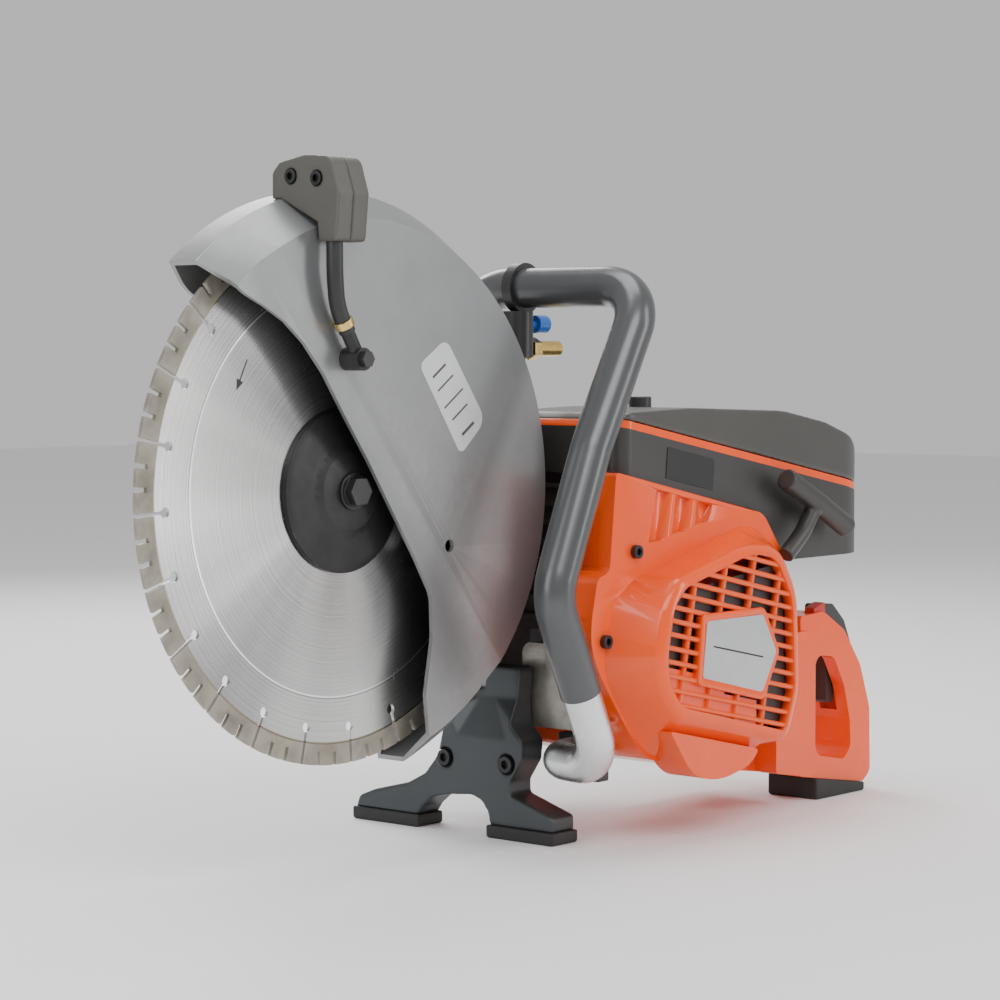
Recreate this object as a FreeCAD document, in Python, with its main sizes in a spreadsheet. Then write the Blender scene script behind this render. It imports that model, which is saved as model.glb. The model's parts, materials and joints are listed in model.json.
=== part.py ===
import FreeCAD, Part
import math
import os
import Sketcher
from FreeCAD import Placement, Rotation, Vector

# Petrol concrete cut-off saw for a 350 mm diamond blade.
# +X points to the rear handle, +Y to the belt arm, +Z up; the floor is z = 0.
# Shapes are drawn in one of two frames and then put in place:
#   saw frame     origin at the blade's centre, axes as above;
#   engine frame  origin at the crank axis, turned down to the rear by engine_tilt.

doc = FreeCAD.newDocument("concrete_cut_off_saw")
sheet = doc.addObject("Spreadsheet::Sheet", "Sizes")

DRIVING_SIZES = {
    "spindle_x": -171.5,         # blade centre from the middle of the saw
    "spindle_y": -9.5,
    "spindle_z": 246.0,          # blade centre above the floor
    "crank_x": 268.0,            # crank axis from the blade centre
    "crank_z": -118.0,
    "engine_tilt": 11.3,         # degrees, the engine leans down to the rear
    "blade_radius": 175.0,
    "core_radius": 161.5,
    "core_thickness": 2.4,
    "segment_thickness": 3.2,
    "slot_circle_radius": 151.7,
    "slot_count": 24,
    "first_slot_angle": 137.7,
    "keyhole_radius": 3.2,
    "slot_width": 2.2,
    "arbor_radius": 12.7,        # 25.4 mm arbor
    "flange_radius": 52.5,
    "spindle_radius": 8.5,
    "running_clearance": 0.03,
    "bearing_radius": 20.0,
    "bolt_radius": 5.0,
    "pulley_radius": 53.5,
    "drum_pulley_radius": 27.0,
    "belt_near": 40.0,           # belt plane, distance to the right of the blade
    "belt_far": 54.0,
    "belt_thickness": 3.5,
    "guard_radius": 190.0,
    "guard_wall": 3.0,
    "guard_left": -28.0,
    "guard_right": 23.0,
    "hub_radius": 60.0,
    "arm_near": 28.0,
    "arm_far": 36.0,
    "cover_wall": 3.0,
    "bore_radius": 28.0,         # 56 mm bore
    "crank_throw": 19.0,         # 38 mm stroke
    "crank_radius": 10.0,
    "cylinder_y": -16.0,
    "tube_radius": 12.8,
    "tube_bore": 10.3,
    "grip_radius": 13.8,
    "tube_bend": 34.0,
    "hose_radius": 5.2,
    "screw_radius": 2.5,
    "handle_left": -64.0,
    "handle_middle": -46.0,
    "handle_right": -28.0,
}

for row, (alias, value) in enumerate(DRIVING_SIZES.items(), start=1):
    sheet.set("A%d" % row, alias)
    sheet.set("B%d" % row, str(value))
    sheet.setAlias("B%d" % row, alias)
doc.recompute()

SPINDLE = ("Sizes.spindle_x", "Sizes.spindle_y", "Sizes.spindle_z")
CRANK = ("Sizes.spindle_x + Sizes.crank_x", "Sizes.spindle_y", "Sizes.spindle_z + Sizes.crank_z")
ALONG = {"x": Rotation(Vector(0, 1, 0), 90), "y": Rotation(Vector(1, 0, 0), -90), "z": Rotation()}
parts = []


def size(alias):
    """Value of a driving size."""
    return float(sheet.get(alias))


def formula(value):
    """A sheet formula as it is, or a plain number as one."""
    return value if isinstance(value, str) else repr(float(value))


def finish(piece, label, on_engine=False):
    """Name a finished sub-part and put it in its place in the saw."""
    piece.Label = label
    turn = Rotation(Vector(0, 1, 0), size("engine_tilt")) if on_engine else Rotation()
    piece.Placement = Placement(Vector(), turn)
    for axis, expression in zip("xyz", CRANK if on_engine else SPINDLE):
        piece.setExpression("Placement.Base." + axis, expression)
    parts.append(piece)
    return piece


def in_saw_frame(point):
    """Point of the engine frame, in the saw frame."""
    turn = Rotation(Vector(0, 1, 0), size("engine_tilt"))
    return Vector(size("crank_x"), 0, size("crank_z")) + turn.multVec(Vector(*point))


# ---------------------------------------------------------------- primitives

def cylinder(name, radius, length, start, along="y"):
    """Round bar from its start point along +x, +y or +z."""
    bar = doc.addObject("Part::Cylinder", name)
    bar.setExpression("Radius", formula(radius))
    bar.setExpression("Height", formula(length))
    bar.Placement = Placement(Vector(*start), ALONG[along])
    return bar


def box(name, low, high):
    """Block between its lowest and highest corners."""
    block = doc.addObject("Part::Box", name)
    for prop, near, far in zip(("Length", "Width", "Height"), low, high):
        setattr(block, prop, far - near)
    block.Placement = Placement(Vector(*low), Rotation())
    return block


def hexagon(name, radius, height, start, along="y"):
    """Six-sided head from its start point along +x, +y or +z."""
    head = doc.addObject("Part::Prism", name)
    head.Polygon = 6
    head.Circumradius = radius
    head.Height = height
    head.Placement = Placement(Vector(*start), ALONG[along])
    return head


def fuse(name, *pieces):
    joined = doc.addObject("Part::MultiFuse", name)
    joined.Shapes = list(pieces)
    return joined


def cut(name, base, *tools):
    result = doc.addObject("Part::Cut", name)
    result.Base = base
    result.Tool = tools[0] if len(tools) == 1 else fuse(name + "_tools", *tools)
    return result


def common(name, first, second):
    result = doc.addObject("Part::Common", name)
    result.Base = first
    result.Tool = second
    return result


def group(name, *pieces):
    """Several separate solids in one node."""
    together = doc.addObject("Part::Compound", name)
    together.Links = list(pieces)
    return together


def repeated(name, source, placements):
    """Separate copies of one finished shape, for a ring or row of equal pieces."""
    doc.recompute()
    copies = []
    for placement in placements:
        copy = source.Shape.copy()
        copy.Placement = placement.multiply(copy.Placement)
        copies.append(copy)
    row = doc.addObject("Part::Feature", name)
    row.Shape = Part.makeCompound(copies)
    return row


# ------------------------------------------------------- outlines and bodies

def rounded(outline):
    """Closed loop of lines and corner arcs from (a, b) or (a, b, corner radius) points."""
    count = len(outline)
    entries, exits, arcs = [], [], []
    for index, corner in enumerate(outline):
        here = Vector(corner[0], corner[1])
        before = Vector(*outline[index - 1][:2]) - here
        after = Vector(*outline[(index + 1) % count][:2]) - here
        radius = corner[2] if len(corner) > 2 else 0.0
        if not radius:
            entries.append(here)
            exits.append(here)
            arcs.append(None)
            continue
        before.normalize()
        after.normalize()
        half = before.getAngle(after) / 2
        reach = radius / math.tan(half)
        middle = before + after
        middle.normalize()
        centre = here + middle * (radius / math.sin(half))
        entries.append(here + before * reach)
        exits.append(here + after * reach)
        arcs.append(Part.Arc(entries[-1], centre - middle * radius, exits[-1]))
    loop = []
    for index in range(count):
        if arcs[index]:
            loop.append(arcs[index])
        following = entries[(index + 1) % count]
        if exits[index].distanceToPoint(following) > 1e-6:
            loop.append(Part.LineSegment(exits[index], following))
    return loop


def inset(outline, wall):
    """The outline moved inwards by a wall's thickness; it runs anticlockwise."""
    area = sum(a[0] * b[1] - b[0] * a[1] for a, b in zip(outline, outline[1:] + outline[:1]))
    side = 1 if area > 0 else -1
    moved = []
    for index, corner in enumerate(outline):
        here = Vector(corner[0], corner[1])
        come = here - Vector(*outline[index - 1][:2])
        go = Vector(*outline[(index + 1) % len(outline)][:2]) - here
        come.normalize()
        go.normalize()
        normal = Vector(-come.y - go.y, come.x + go.x) * side
        normal.normalize()
        reach = wall / normal.dot(Vector(-go.y, go.x) * side)
        point = here + normal * reach
        radius = max(corner[2] - wall, 1.0) if len(corner) > 2 else 0.0
        moved.append((point.x, point.y, radius) if radius else (point.x, point.y))
    return moved


def base_plane(body, role):
    return [f for f in body.Origin.OriginFeatures if f.Role == role][0]


def sketch_on(body, name, role, offset, loops):
    """Sketch of closed loops on one of the body's own base planes."""
    sketch = body.newObject("Sketcher::SketchObject", name)
    sketch.AttachmentSupport = [(base_plane(body, role), "")]
    sketch.MapMode = "FlatFace"
    sketch.AttachmentOffset = Placement(Vector(0, 0, 0), Rotation())
    sketch.setExpression("AttachmentOffset.Base.z", formula(offset))
    for loop in loops:
        sketch.addGeometry(loop, False)
    return sketch


def plate(name, outline, near, far, holes=(), plane="XZ_Plane"):
    """Body of an outline made solid from near to far along the plane's axis.

    XZ outlines are (x, z) and reach from near to far along y, YZ outlines are
    (y, z) along x, and XY outlines are (x, y) along z. Holes are (a, b, radius).
    """
    body = doc.addObject("PartDesign::Body", name)
    loops = [rounded(outline)]
    for a, b, radius in holes:
        loops.append([Part.Circle(Vector(a, b), Vector(0, 0, 1), radius)])
    # The normal of the XZ plane points to -y, so that pad starts at its far side.
    start = "-(%s)" % formula(far) if plane == "XZ_Plane" else near
    sketch = sketch_on(body, name + "_outline", plane, start, loops)
    pad = body.newObject("PartDesign::Pad", name + "_pad")
    pad.Profile = sketch
    pad.setExpression("Length", "(%s) - (%s)" % (formula(far), formula(near)))
    return body


def turned(name, profile):
    """Body turned about the y axis from a closed (radius, y) profile."""
    body = doc.addObject("PartDesign::Body", name)
    sketch = sketch_on(body, name + "_profile", "XY_Plane", 0, [rounded(profile)])
    turn = body.newObject("PartDesign::Revolution", name + "_turn")
    turn.Profile = sketch
    turn.ReferenceAxis = (sketch, ["V_Axis"])
    turn.Angle = 360
    return body


def ring(name, inner, outer, near, far):
    """Plain turned ring about the y axis."""
    return turned(name, [(inner, near), (outer, near), (outer, far), (inner, far)])


def rounded_route(points, bend):
    """Straight runs joined by tangent arcs of one bend radius."""
    points = [Vector(*point) for point in points]
    edges = []
    start = points[0]
    for before, corner, after in zip(points, points[1:], points[2:]):
        back = before - corner
        ahead = after - corner
        limit = 0.48 * min(back.Length, ahead.Length)
        back.normalize()
        ahead.normalize()
        half = back.getAngle(ahead) / 2
        reach = min(bend / math.tan(half), limit)
        radius = reach * math.tan(half)
        middle = back + ahead
        middle.normalize()
        centre = corner + middle * (radius / math.sin(half))
        entry = corner + back * reach
        leave = corner + ahead * reach
        edges.append(Part.LineSegment(start, entry).toShape())
        edges.append(Part.Arc(entry, centre - middle * radius, leave).toShape())
        start = leave
    edges.append(Part.LineSegment(start, points[-1]).toShape())
    return Part.Wire(edges)


def rod(name, points, bend, radius):
    """Round bar or hose swept along a route of runs and arcs."""
    spine = doc.addObject("Part::Feature", name + "_route")
    spine.Shape = rounded_route(points, bend)
    section = doc.addObject("Part::Circle", name + "_section")
    section.setExpression("Radius", formula(radius))
    heading = Vector(*points[1]) - Vector(*points[0])
    section.Placement = Placement(Vector(*points[0]), Rotation(Vector(0, 0, 1), heading))
    sweep = doc.addObject("Part::Sweep", name)
    sweep.Sections = [section]
    sweep.Spine = (spine, ["Edge%d" % (i + 1) for i in range(len(spine.Shape.Edges))])
    sweep.Solid = True
    sweep.Frenet = False
    return sweep


def screw(name, start, length, along, head_radius=4.6, head_height=4.5, flip=False):
    """Cap screw with a hexagon socket, its shank starting under the head.

    With flip the head is at the high end of the shank.
    """
    step = {"x": Vector(1, 0, 0), "y": Vector(0, 1, 0), "z": Vector(0, 0, 1)}[along]
    base = Vector(*start)
    head_base = base + step * length if flip else base - step * head_height
    socket_depth = 2.6
    socket_base = head_base + step * (head_height - socket_depth) if flip else head_base
    shank = cylinder(name + "_shank", "Sizes.screw_radius", length, base, along)
    head = cylinder(name + "_head", head_radius, head_height, head_base, along)
    socket = hexagon(name + "_socket", head_radius * 0.55, socket_depth, socket_base, along)
    return cut(name, fuse(name + "_solid", shank, head), socket)


# ------------------------------------------------------------------ the blade

def make_blade():
    """Steel core with keyhole slots, and a diamond segment between each two slots."""
    half_core = "Sizes.core_thickness / 2"
    body = doc.addObject("PartDesign::Body", "blade_core")
    disc = [[Part.Circle(Vector(), Vector(0, 0, 1), size("core_radius"))],
            [Part.Circle(Vector(), Vector(0, 0, 1), size("arbor_radius"))]]
    sketch = sketch_on(body, "core_outline", "XZ_Plane", "-(%s)" % half_core, disc)
    for index, alias in enumerate(("core_radius", "arbor_radius")):
        sketch.addConstraint(Sketcher.Constraint("Radius", index, size(alias)))
        sketch.setExpression("Constraints[%d]" % index, "Sizes." + alias)
    pad = body.newObject("PartDesign::Pad", "core_pad")
    pad.Profile = sketch
    pad.setExpression("Length", "Sizes.core_thickness")

    angle = math.radians(size("first_slot_angle"))
    out = Vector(math.cos(angle), math.sin(angle))
    side = Vector(-out.y, out.x) * (size("slot_width") / 2)
    hole = out * size("slot_circle_radius")
    rim = out * (size("core_radius") + 2)
    slot_loop = rounded([tuple(p)[:2] for p in (hole - side, rim - side, rim + side, hole + side)])
    hole_loop = [Part.Circle(hole, Vector(0, 0, 1), size("keyhole_radius"))]
    for name, loop in (("keyhole", hole_loop), ("slot", slot_loop)):
        outline = sketch_on(body, name + "_outline", "XZ_Plane", 0, [loop])
        pocket = body.newObject("PartDesign::Pocket", name + "_pocket")
        pocket.Profile = outline
        pocket.Type = "ThroughAll"
        pocket.Midplane = True
        pattern = body.newObject("PartDesign::PolarPattern", name + "_pattern")
        pattern.Originals = [pocket]
        pattern.Axis = (outline, ["N_Axis"])
        pattern.Angle = 360
        pattern.setExpression("Occurrences", "Sizes.slot_count")
        body.Tip = pattern
    finish(body, "blade_core")

    pitch = 2 * math.pi / size("slot_count")
    inner, outer = size("core_radius"), size("blade_radius")
    gap = size("slot_width") / 2 / outer
    start, end = angle + gap, angle + pitch - gap
    notch_depth, notch_half = 8.5, 1.5 / outer

    def at(radius, bearing):
        return Vector(radius * math.cos(bearing), radius * math.sin(bearing))

    def arc(radius, first, last):
        return Part.Arc(at(radius, first), at(radius, (first + last) / 2), at(radius, last))

    edges = [arc(inner, end, start), Part.LineSegment(at(inner, start), at(outer, start))]
    bearing = start
    for third in (1, 2):
        notch = start + (end - start) * third / 3
        floor = outer - notch_depth
        edges.append(arc(outer, bearing, notch - notch_half))
        edges.append(Part.LineSegment(at(outer, notch - notch_half), at(floor, notch - notch_half)))
        edges.append(arc(floor, notch - notch_half, notch + notch_half))
        edges.append(Part.LineSegment(at(floor, notch + notch_half), at(outer, notch + notch_half)))
        bearing = notch + notch_half
    edges.append(arc(outer, bearing, end))
    edges.append(Part.LineSegment(at(outer, end), at(inner, end)))
    segment = doc.addObject("PartDesign::Body", "one_segment")
    outline = sketch_on(segment, "segment_outline", "XZ_Plane", "-Sizes.segment_thickness / 2", [edges])
    pad = segment.newObject("PartDesign::Pad", "segment_pad")
    pad.Profile = outline
    pad.setExpression("Length", "Sizes.segment_thickness")
    step = 360 / size("slot_count")
    turns = [Placement(Vector(), Rotation(Vector(0, 1, 0), step * i)) for i in range(int(size("slot_count")))]
    finish(repeated("diamond_segments", segment, turns), "diamond_segments")


def make_spindle():
    """Flanges that clamp the blade, spindle shaft, centre bolt and driven pulley."""
    face = size("core_thickness") / 2
    rim = size("flange_radius")
    clamp = rim - 13
    bolt_hole = size("bolt_radius") + 0.05
    shaft = size("spindle_radius")
    finish(turned("outer_flange", [
        (bolt_hole, -2.4), (clamp, -2.4), (clamp, -face), (rim, -face), (rim, -4.5, 1),
        (rim - 6, -6.4), (31, -7.2), (25, -10.2, 1), (15, -11.5), (bolt_hole, -11.5)]), "outer_flange")
    finish(turned("inner_flange", [
        (bolt_hole, -1), (size("arbor_radius") - 0.05, -1), (size("arbor_radius") - 0.05, 2.6),
        (clamp, 2.6), (clamp, face), (rim, face), (rim, 4.5, 1), (30, 8), (16, 12),
        (shaft, 12), (shaft, 6), (bolt_hole, 6)]), "inner_flange")
    finish(turned("spindle_shaft", [
        (bolt_hole, 6), (shaft, 6), (shaft, 56), (0, 56), (0, 42), (bolt_hole, 42)]), "spindle_shaft")
    bolt = fuse("centre_bolt_solid",
                cylinder("bolt_shank", "Sizes.bolt_radius", 46, (0, -13.5, 0)),
                cylinder("bolt_washer", 12, 2, (0, -13.5, 0)),
                hexagon("bolt_head", 9.8, 6.5, (0, -20, 0)))
    finish(bolt, "centre_bolt")
    near, far = size("belt_near"), size("belt_far")
    outer = size("pulley_radius")
    finish(turned("driven_pulley", [
        (shaft, near - 1), (18, near - 1), (18, near + 4), (outer - 8, near + 4), (outer - 8, near - 1),
        (outer, near - 1), (outer, far + 1), (outer - 8, far + 1), (outer - 8, far - 4), (18, far - 4),
        (18, far + 1), (shaft, far + 1)]), "driven_pulley")


# ------------------------------------------------- cutting arm and belt drive

def stadium(front_radius, rear_radius):
    """Outline round the spindle and the crank axis, with straight sides."""
    rear = Vector(size("crank_x"), size("crank_z"))
    heading = math.atan2(rear.y, rear.x)
    lean = math.acos((front_radius - rear_radius) / rear.Length)

    def at(centre, radius, bearing):
        return centre + Vector(math.cos(bearing), math.sin(bearing)) * radius

    low, high = heading - lean, heading + lean
    front = Vector()
    return [
        Part.Arc(at(front, front_radius, high), at(front, front_radius, heading + math.pi),
                 at(front, front_radius, low)),
        Part.LineSegment(at(front, front_radius, low), at(rear, rear_radius, low)),
        Part.Arc(at(rear, rear_radius, low), at(rear, rear_radius, heading), at(rear, rear_radius, high)),
        Part.LineSegment(at(rear, rear_radius, high), at(front, front_radius, high))]


def stadium_plate(name, front_radius, rear_radius, near, far):
    body = doc.addObject("PartDesign::Body", name)
    loop = stadium(front_radius, rear_radius)
    sketch = sketch_on(body, name + "_outline", "XZ_Plane", "-(%s)" % formula(far), [loop])
    pad = body.newObject("PartDesign::Pad", name + "_pad")
    pad.Profile = sketch
    pad.setExpression("Length", "(%s) - (%s)" % (formula(far), formula(near)))
    return body


def make_arm():
    """Cast arm with the belt and its two covers, and the spindle's and crankshaft's ball bearings."""
    crank = (size("crank_x"), size("crank_z"))
    hub_near, bearing_length = 14, 12
    bearing = "Sizes.bearing_radius"
    arm = cut(
        "arm_casting",
        fuse("arm_solid",
             stadium_plate("arm_plate", 62, 50, "Sizes.arm_near", "Sizes.arm_far"),
             cylinder("arm_hub", "Sizes.hub_radius", 15, (0, hub_near, 0)),
             cylinder("arm_boss", 26, 3, (0, 35, 0))),
        cylinder("arm_bearing_seat", bearing, 24, (0, hub_near, 0)),
        cylinder("arm_hub_pocket", 52, 10, (0, hub_near, 0)),
        cylinder("arm_crank_hole", 24, 12, (crank[0], 27, crank[1])))
    core = cut("arm_bearing_tube",
               cylinder("arm_tube_outside", 26, 15, (0, hub_near, 0)),
               cylinder("arm_tube_inside", bearing, 16, (0, hub_near - 0.5, 0)))
    finish(fuse("cutting_arm", arm, core), "cutting_arm")

    inner = size("spindle_radius") + size("running_clearance")
    outer = size("bearing_radius")
    bearings = [ring("spindle_bearing_%d" % i, inner, outer, hub_near + i * bearing_length,
                     hub_near + (i + 1) * bearing_length) for i in range(2)]
    crank_inner = size("crank_radius") + size("running_clearance")
    for side, near in (("left", -54), ("right", 9)):
        bearing = ring("crank_bearing_" + side, crank_inner, outer + 1, near, near + 13)
        bearing.Placement = Placement(Vector(crank[0], 0, crank[1]), Rotation())
        bearings.append(bearing)
    finish(group("ball_bearings", *bearings), "ball_bearings")

    cover_far, wall = 60, size("cover_wall")
    cover = cut(
        "belt_cover_shell",
        stadium_plate("belt_cover_outside", 62, 50, "Sizes.arm_far", cover_far),
        stadium_plate("belt_cover_inside", 62 - wall, 50 - wall, 35, cover_far - wall),
        cylinder("belt_cover_drum_hole", 43, 10, (crank[0], cover_far - 5, crank[1])),
        *[cylinder("belt_cover_screw_hole_%d" % i, "Sizes.screw_radius + 0.1", 8, (x, cover_far - 5, z))
          for i, (x, z) in enumerate(BELT_COVER_SCREWS)])
    ribs = [box("belt_cover_rib_%d" % i, (x, cover_far, z - 4), (x + 4, cover_far + 2, z + 34))
            for i, (x, z) in enumerate([(60, -50), (100, -66), (140, -84)])]
    finish(fuse("belt_cover", cover, *ribs), "belt_cover")

    cup = cut("clutch_cup",
              cylinder("clutch_cup_outside", 50, 25, (0, cover_far, 0)),
              cylinder("clutch_cup_inside", 46.5, 24, (0, cover_far - 2.5, 0)))
    slot_width, slot_reach = 5, 60
    vents = [box("clutch_vent_%d" % i, (-30 + 12 * i, cover_far + 21, -22),
                 (-30 + 12 * i + slot_width, slot_reach + 30, 22)) for i in range(6)]
    shell = cut("clutch_cover", cup, *vents)
    finish(shell, "clutch_cover", on_engine=True)

    gap = 0.3
    big, small = size("pulley_radius") + gap, size("drum_pulley_radius") + gap
    thick = size("belt_thickness")
    belt = cut("drive_belt",
               stadium_plate("belt_outside", big + thick, small + thick, "Sizes.belt_near + 1",
                             "Sizes.belt_far - 1"),
               stadium_plate("belt_inside", big, small, "Sizes.belt_near", "Sizes.belt_far"))
    finish(belt, "drive_belt")


# ------------------------------------------------------------------ the guard

def guard_profile(outer, left, right, shoulder):
    """Closed (radius, y) section of the guard's outside."""
    return [(0, left), (outer - shoulder, left), (outer, 0, 3), (outer, right), (0, right)]


def make_guard():
    """Magnesium blade guard that turns on the arm's hub, with its two-part grip and hose."""
    wall = size("guard_wall")
    outer, left, right = size("guard_radius"), size("guard_left"), size("guard_right")
    shoulder = 18
    shell = cut(
        "guard_shell",
        turned("guard_outside", guard_profile(outer, left, right, shoulder)),
        turned("guard_inside", guard_profile(outer - wall, left + wall, right - wall, shoulder)))
    # The region that the guard covers, behind its sloping front edge.
    covered = [(-126, 146), (-113, 126, 30), (-92, 117), (-73, 107), (-57, 94), (-40, 75, 60),
               (-23, 51), (0, 20), (20, -9), (44, -44, 60), (60, -70, 20), (61, -97, 40), (54, -134, 12),
               (60, -184), (90, -260), (260, -260), (260, 240), (-207, 240)]
    region = plate("guard_region", covered, left - 5, right + 5)
    hub_disc = cylinder("guard_hub_disc", 78, 12, (0, right - wall - 4, 0))
    hub_bore = cylinder("guard_hub_bore", "Sizes.hub_radius + 0.05", 40, (0, right - 30, 0))
    inspection_hole = cylinder("guard_plate_hole", 4.2, 20, (74, left - 5, -38))
    kept = common("guard_kept", shell, fuse("guard_keep", region, hub_disc))
    finish(cut("blade_guard", kept, hub_bore, inspection_hole), "blade_guard")

    # Grip: two shells over the rim, clamped by two screws along x.
    section = [(8, 182), (8, 200, 3), (2, 206, 4), (-20, 210, 8), (-43, 208, 8), (-50, 186, 4),
               (-47, 156, 3), (-31.5, 156, 2), (-31, 168), (-2, 182)]
    envelope = turned("grip_guard_envelope", guard_profile(outer, left, right, shoulder))
    halves = {"guard_grip_front": (-51, -38), "guard_grip_rear": (-38, -24)}
    screw_places = [(-8, 197), (-30, 195)]
    for name, (near, far) in halves.items():
        half = plate(name + "_block", section, near, far, plane="YZ_Plane")
        holes = [cylinder("%s_hole_%d" % (name, i), "Sizes.screw_radius + 0.1", 60, (-60, y, z), "x")
                 for i, (y, z) in enumerate(screw_places)]
        if name == "guard_grip_front":
            holes += [cylinder("%s_head_seat_%d" % (name, i), 4.9, 4, (-52, y, z), "x")
                      for i, (y, z) in enumerate(screw_places)]
        finish(cut(name, half, envelope, *holes), name)
    screws = [screw("grip_screw_%d" % i, (-48, y, z), 22, "x", 4.5, 4)
              for i, (y, z) in enumerate(screw_places)]
    finish(group("grip_screws", *screws), "grip_screws")

    hose_route = [(-44, -39, 155.9), (-44, -39, 136), (-40, -37, 116), (-31, -37, 101)]
    finish(rod("guard_hose", hose_route, 60, "Sizes.hose_radius"), "guard_hose")
    fitting = fuse("hose_fitting_solid",
                   rod("fitting_barb", [hose_route[-1], (-23.5, -37, 88.5)], 1, 4.4),
                   cylinder("fitting_barrel", 7.2, 15, (-22, -43, 84)),
                   hexagon("fitting_screw", 5.4, 4, (-22, -47, 84)))

    nipple = fuse("guard_nipple_solid",
                  cylinder("nipple_foot", 7, 3, (62, right, 150)),
                  cylinder("nipple_barb", 4, 7, (62, right, 150)))
    finish(group("hose_fittings", fitting, nipple), "hose_fittings")


# ------------------------------------------- engine: turning and sliding parts

def make_crank():
    """Crankshaft with flywheel and clutch hub, the clutch drum with its pulley, and the piston."""
    journal = size("crank_radius")
    web_radius, throw = 36, size("crank_throw")
    shaft = fuse(
        "crankshaft",
        cylinder("journal_left", "Sizes.crank_radius", 56, (0, -92, 0)),
        cylinder("web_left", web_radius, 10, (0, -36, 0)),
        cylinder("crank_pin", 9, 20, (0, -26, -throw)),
        cylinder("web_right", web_radius, 10, (0, -6, 0)),
        cylinder("journal_right", "Sizes.crank_radius", 74, (0, 4, 0)))
    finish(shaft, "crankshaft", on_engine=True)

    disc = ring("flywheel_disc", journal, 56, -68, -62)
    rim = ring("flywheel_rim", 40, 44, -78, -68)
    blade = box("flywheel_blade", (42, -77.5, -1.5), (55, -67, 1.5))
    vanes = repeated("flywheel_vanes", blade,
                     [Placement(Vector(), Rotation(Vector(0, 1, 0), 30 * i)) for i in range(12)])
    finish(fuse("flywheel_fan", disc, rim, vanes), "flywheel_fan", on_engine=True)

    shoe = plate("clutch_shoe", [(10.5, 12), (27, 12, 3), (31, 0, 8), (27, -12, 3), (10.5, -12)], 60, 70)
    shoes = repeated("clutch_shoes", shoe,
                     [Placement(Vector(), Rotation(Vector(0, 1, 0), 120 * i)) for i in range(3)])
    finish(fuse("clutch_hub", ring("clutch_hub_core", journal, 17, 60, 70), shoes), "clutch_hub",
           on_engine=True)

    near, far = size("belt_near"), size("belt_far")
    pulley, bore = size("drum_pulley_radius"), journal + 0.05
    finish(turned("clutch_drum", [
        (bore, near - 1), (pulley, near - 1), (pulley, far + 0.5), (38, far + 0.5), (38, 74), (35, 74),
        (35, 58), (bore, 58)]), "clutch_drum", on_engine=True)

    crown, skirt = 80, 40
    y = size("cylinder_y")
    body = cylinder("piston_outside", "Sizes.bore_radius - 0.06", skirt, (0, y, crown - skirt), "z")
    hollow = cylinder("piston_hollow", 23, skirt - 8, (0, y, crown - skirt - 1), "z")
    pin_hole = cylinder("piston_pin_hole", 7, 70, (0, y - 35, crown - 24))
    finish(cut("piston", body, hollow, pin_hole), "piston", on_engine=True)


# ------------------------------------------------------ engine: standing parts

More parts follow.
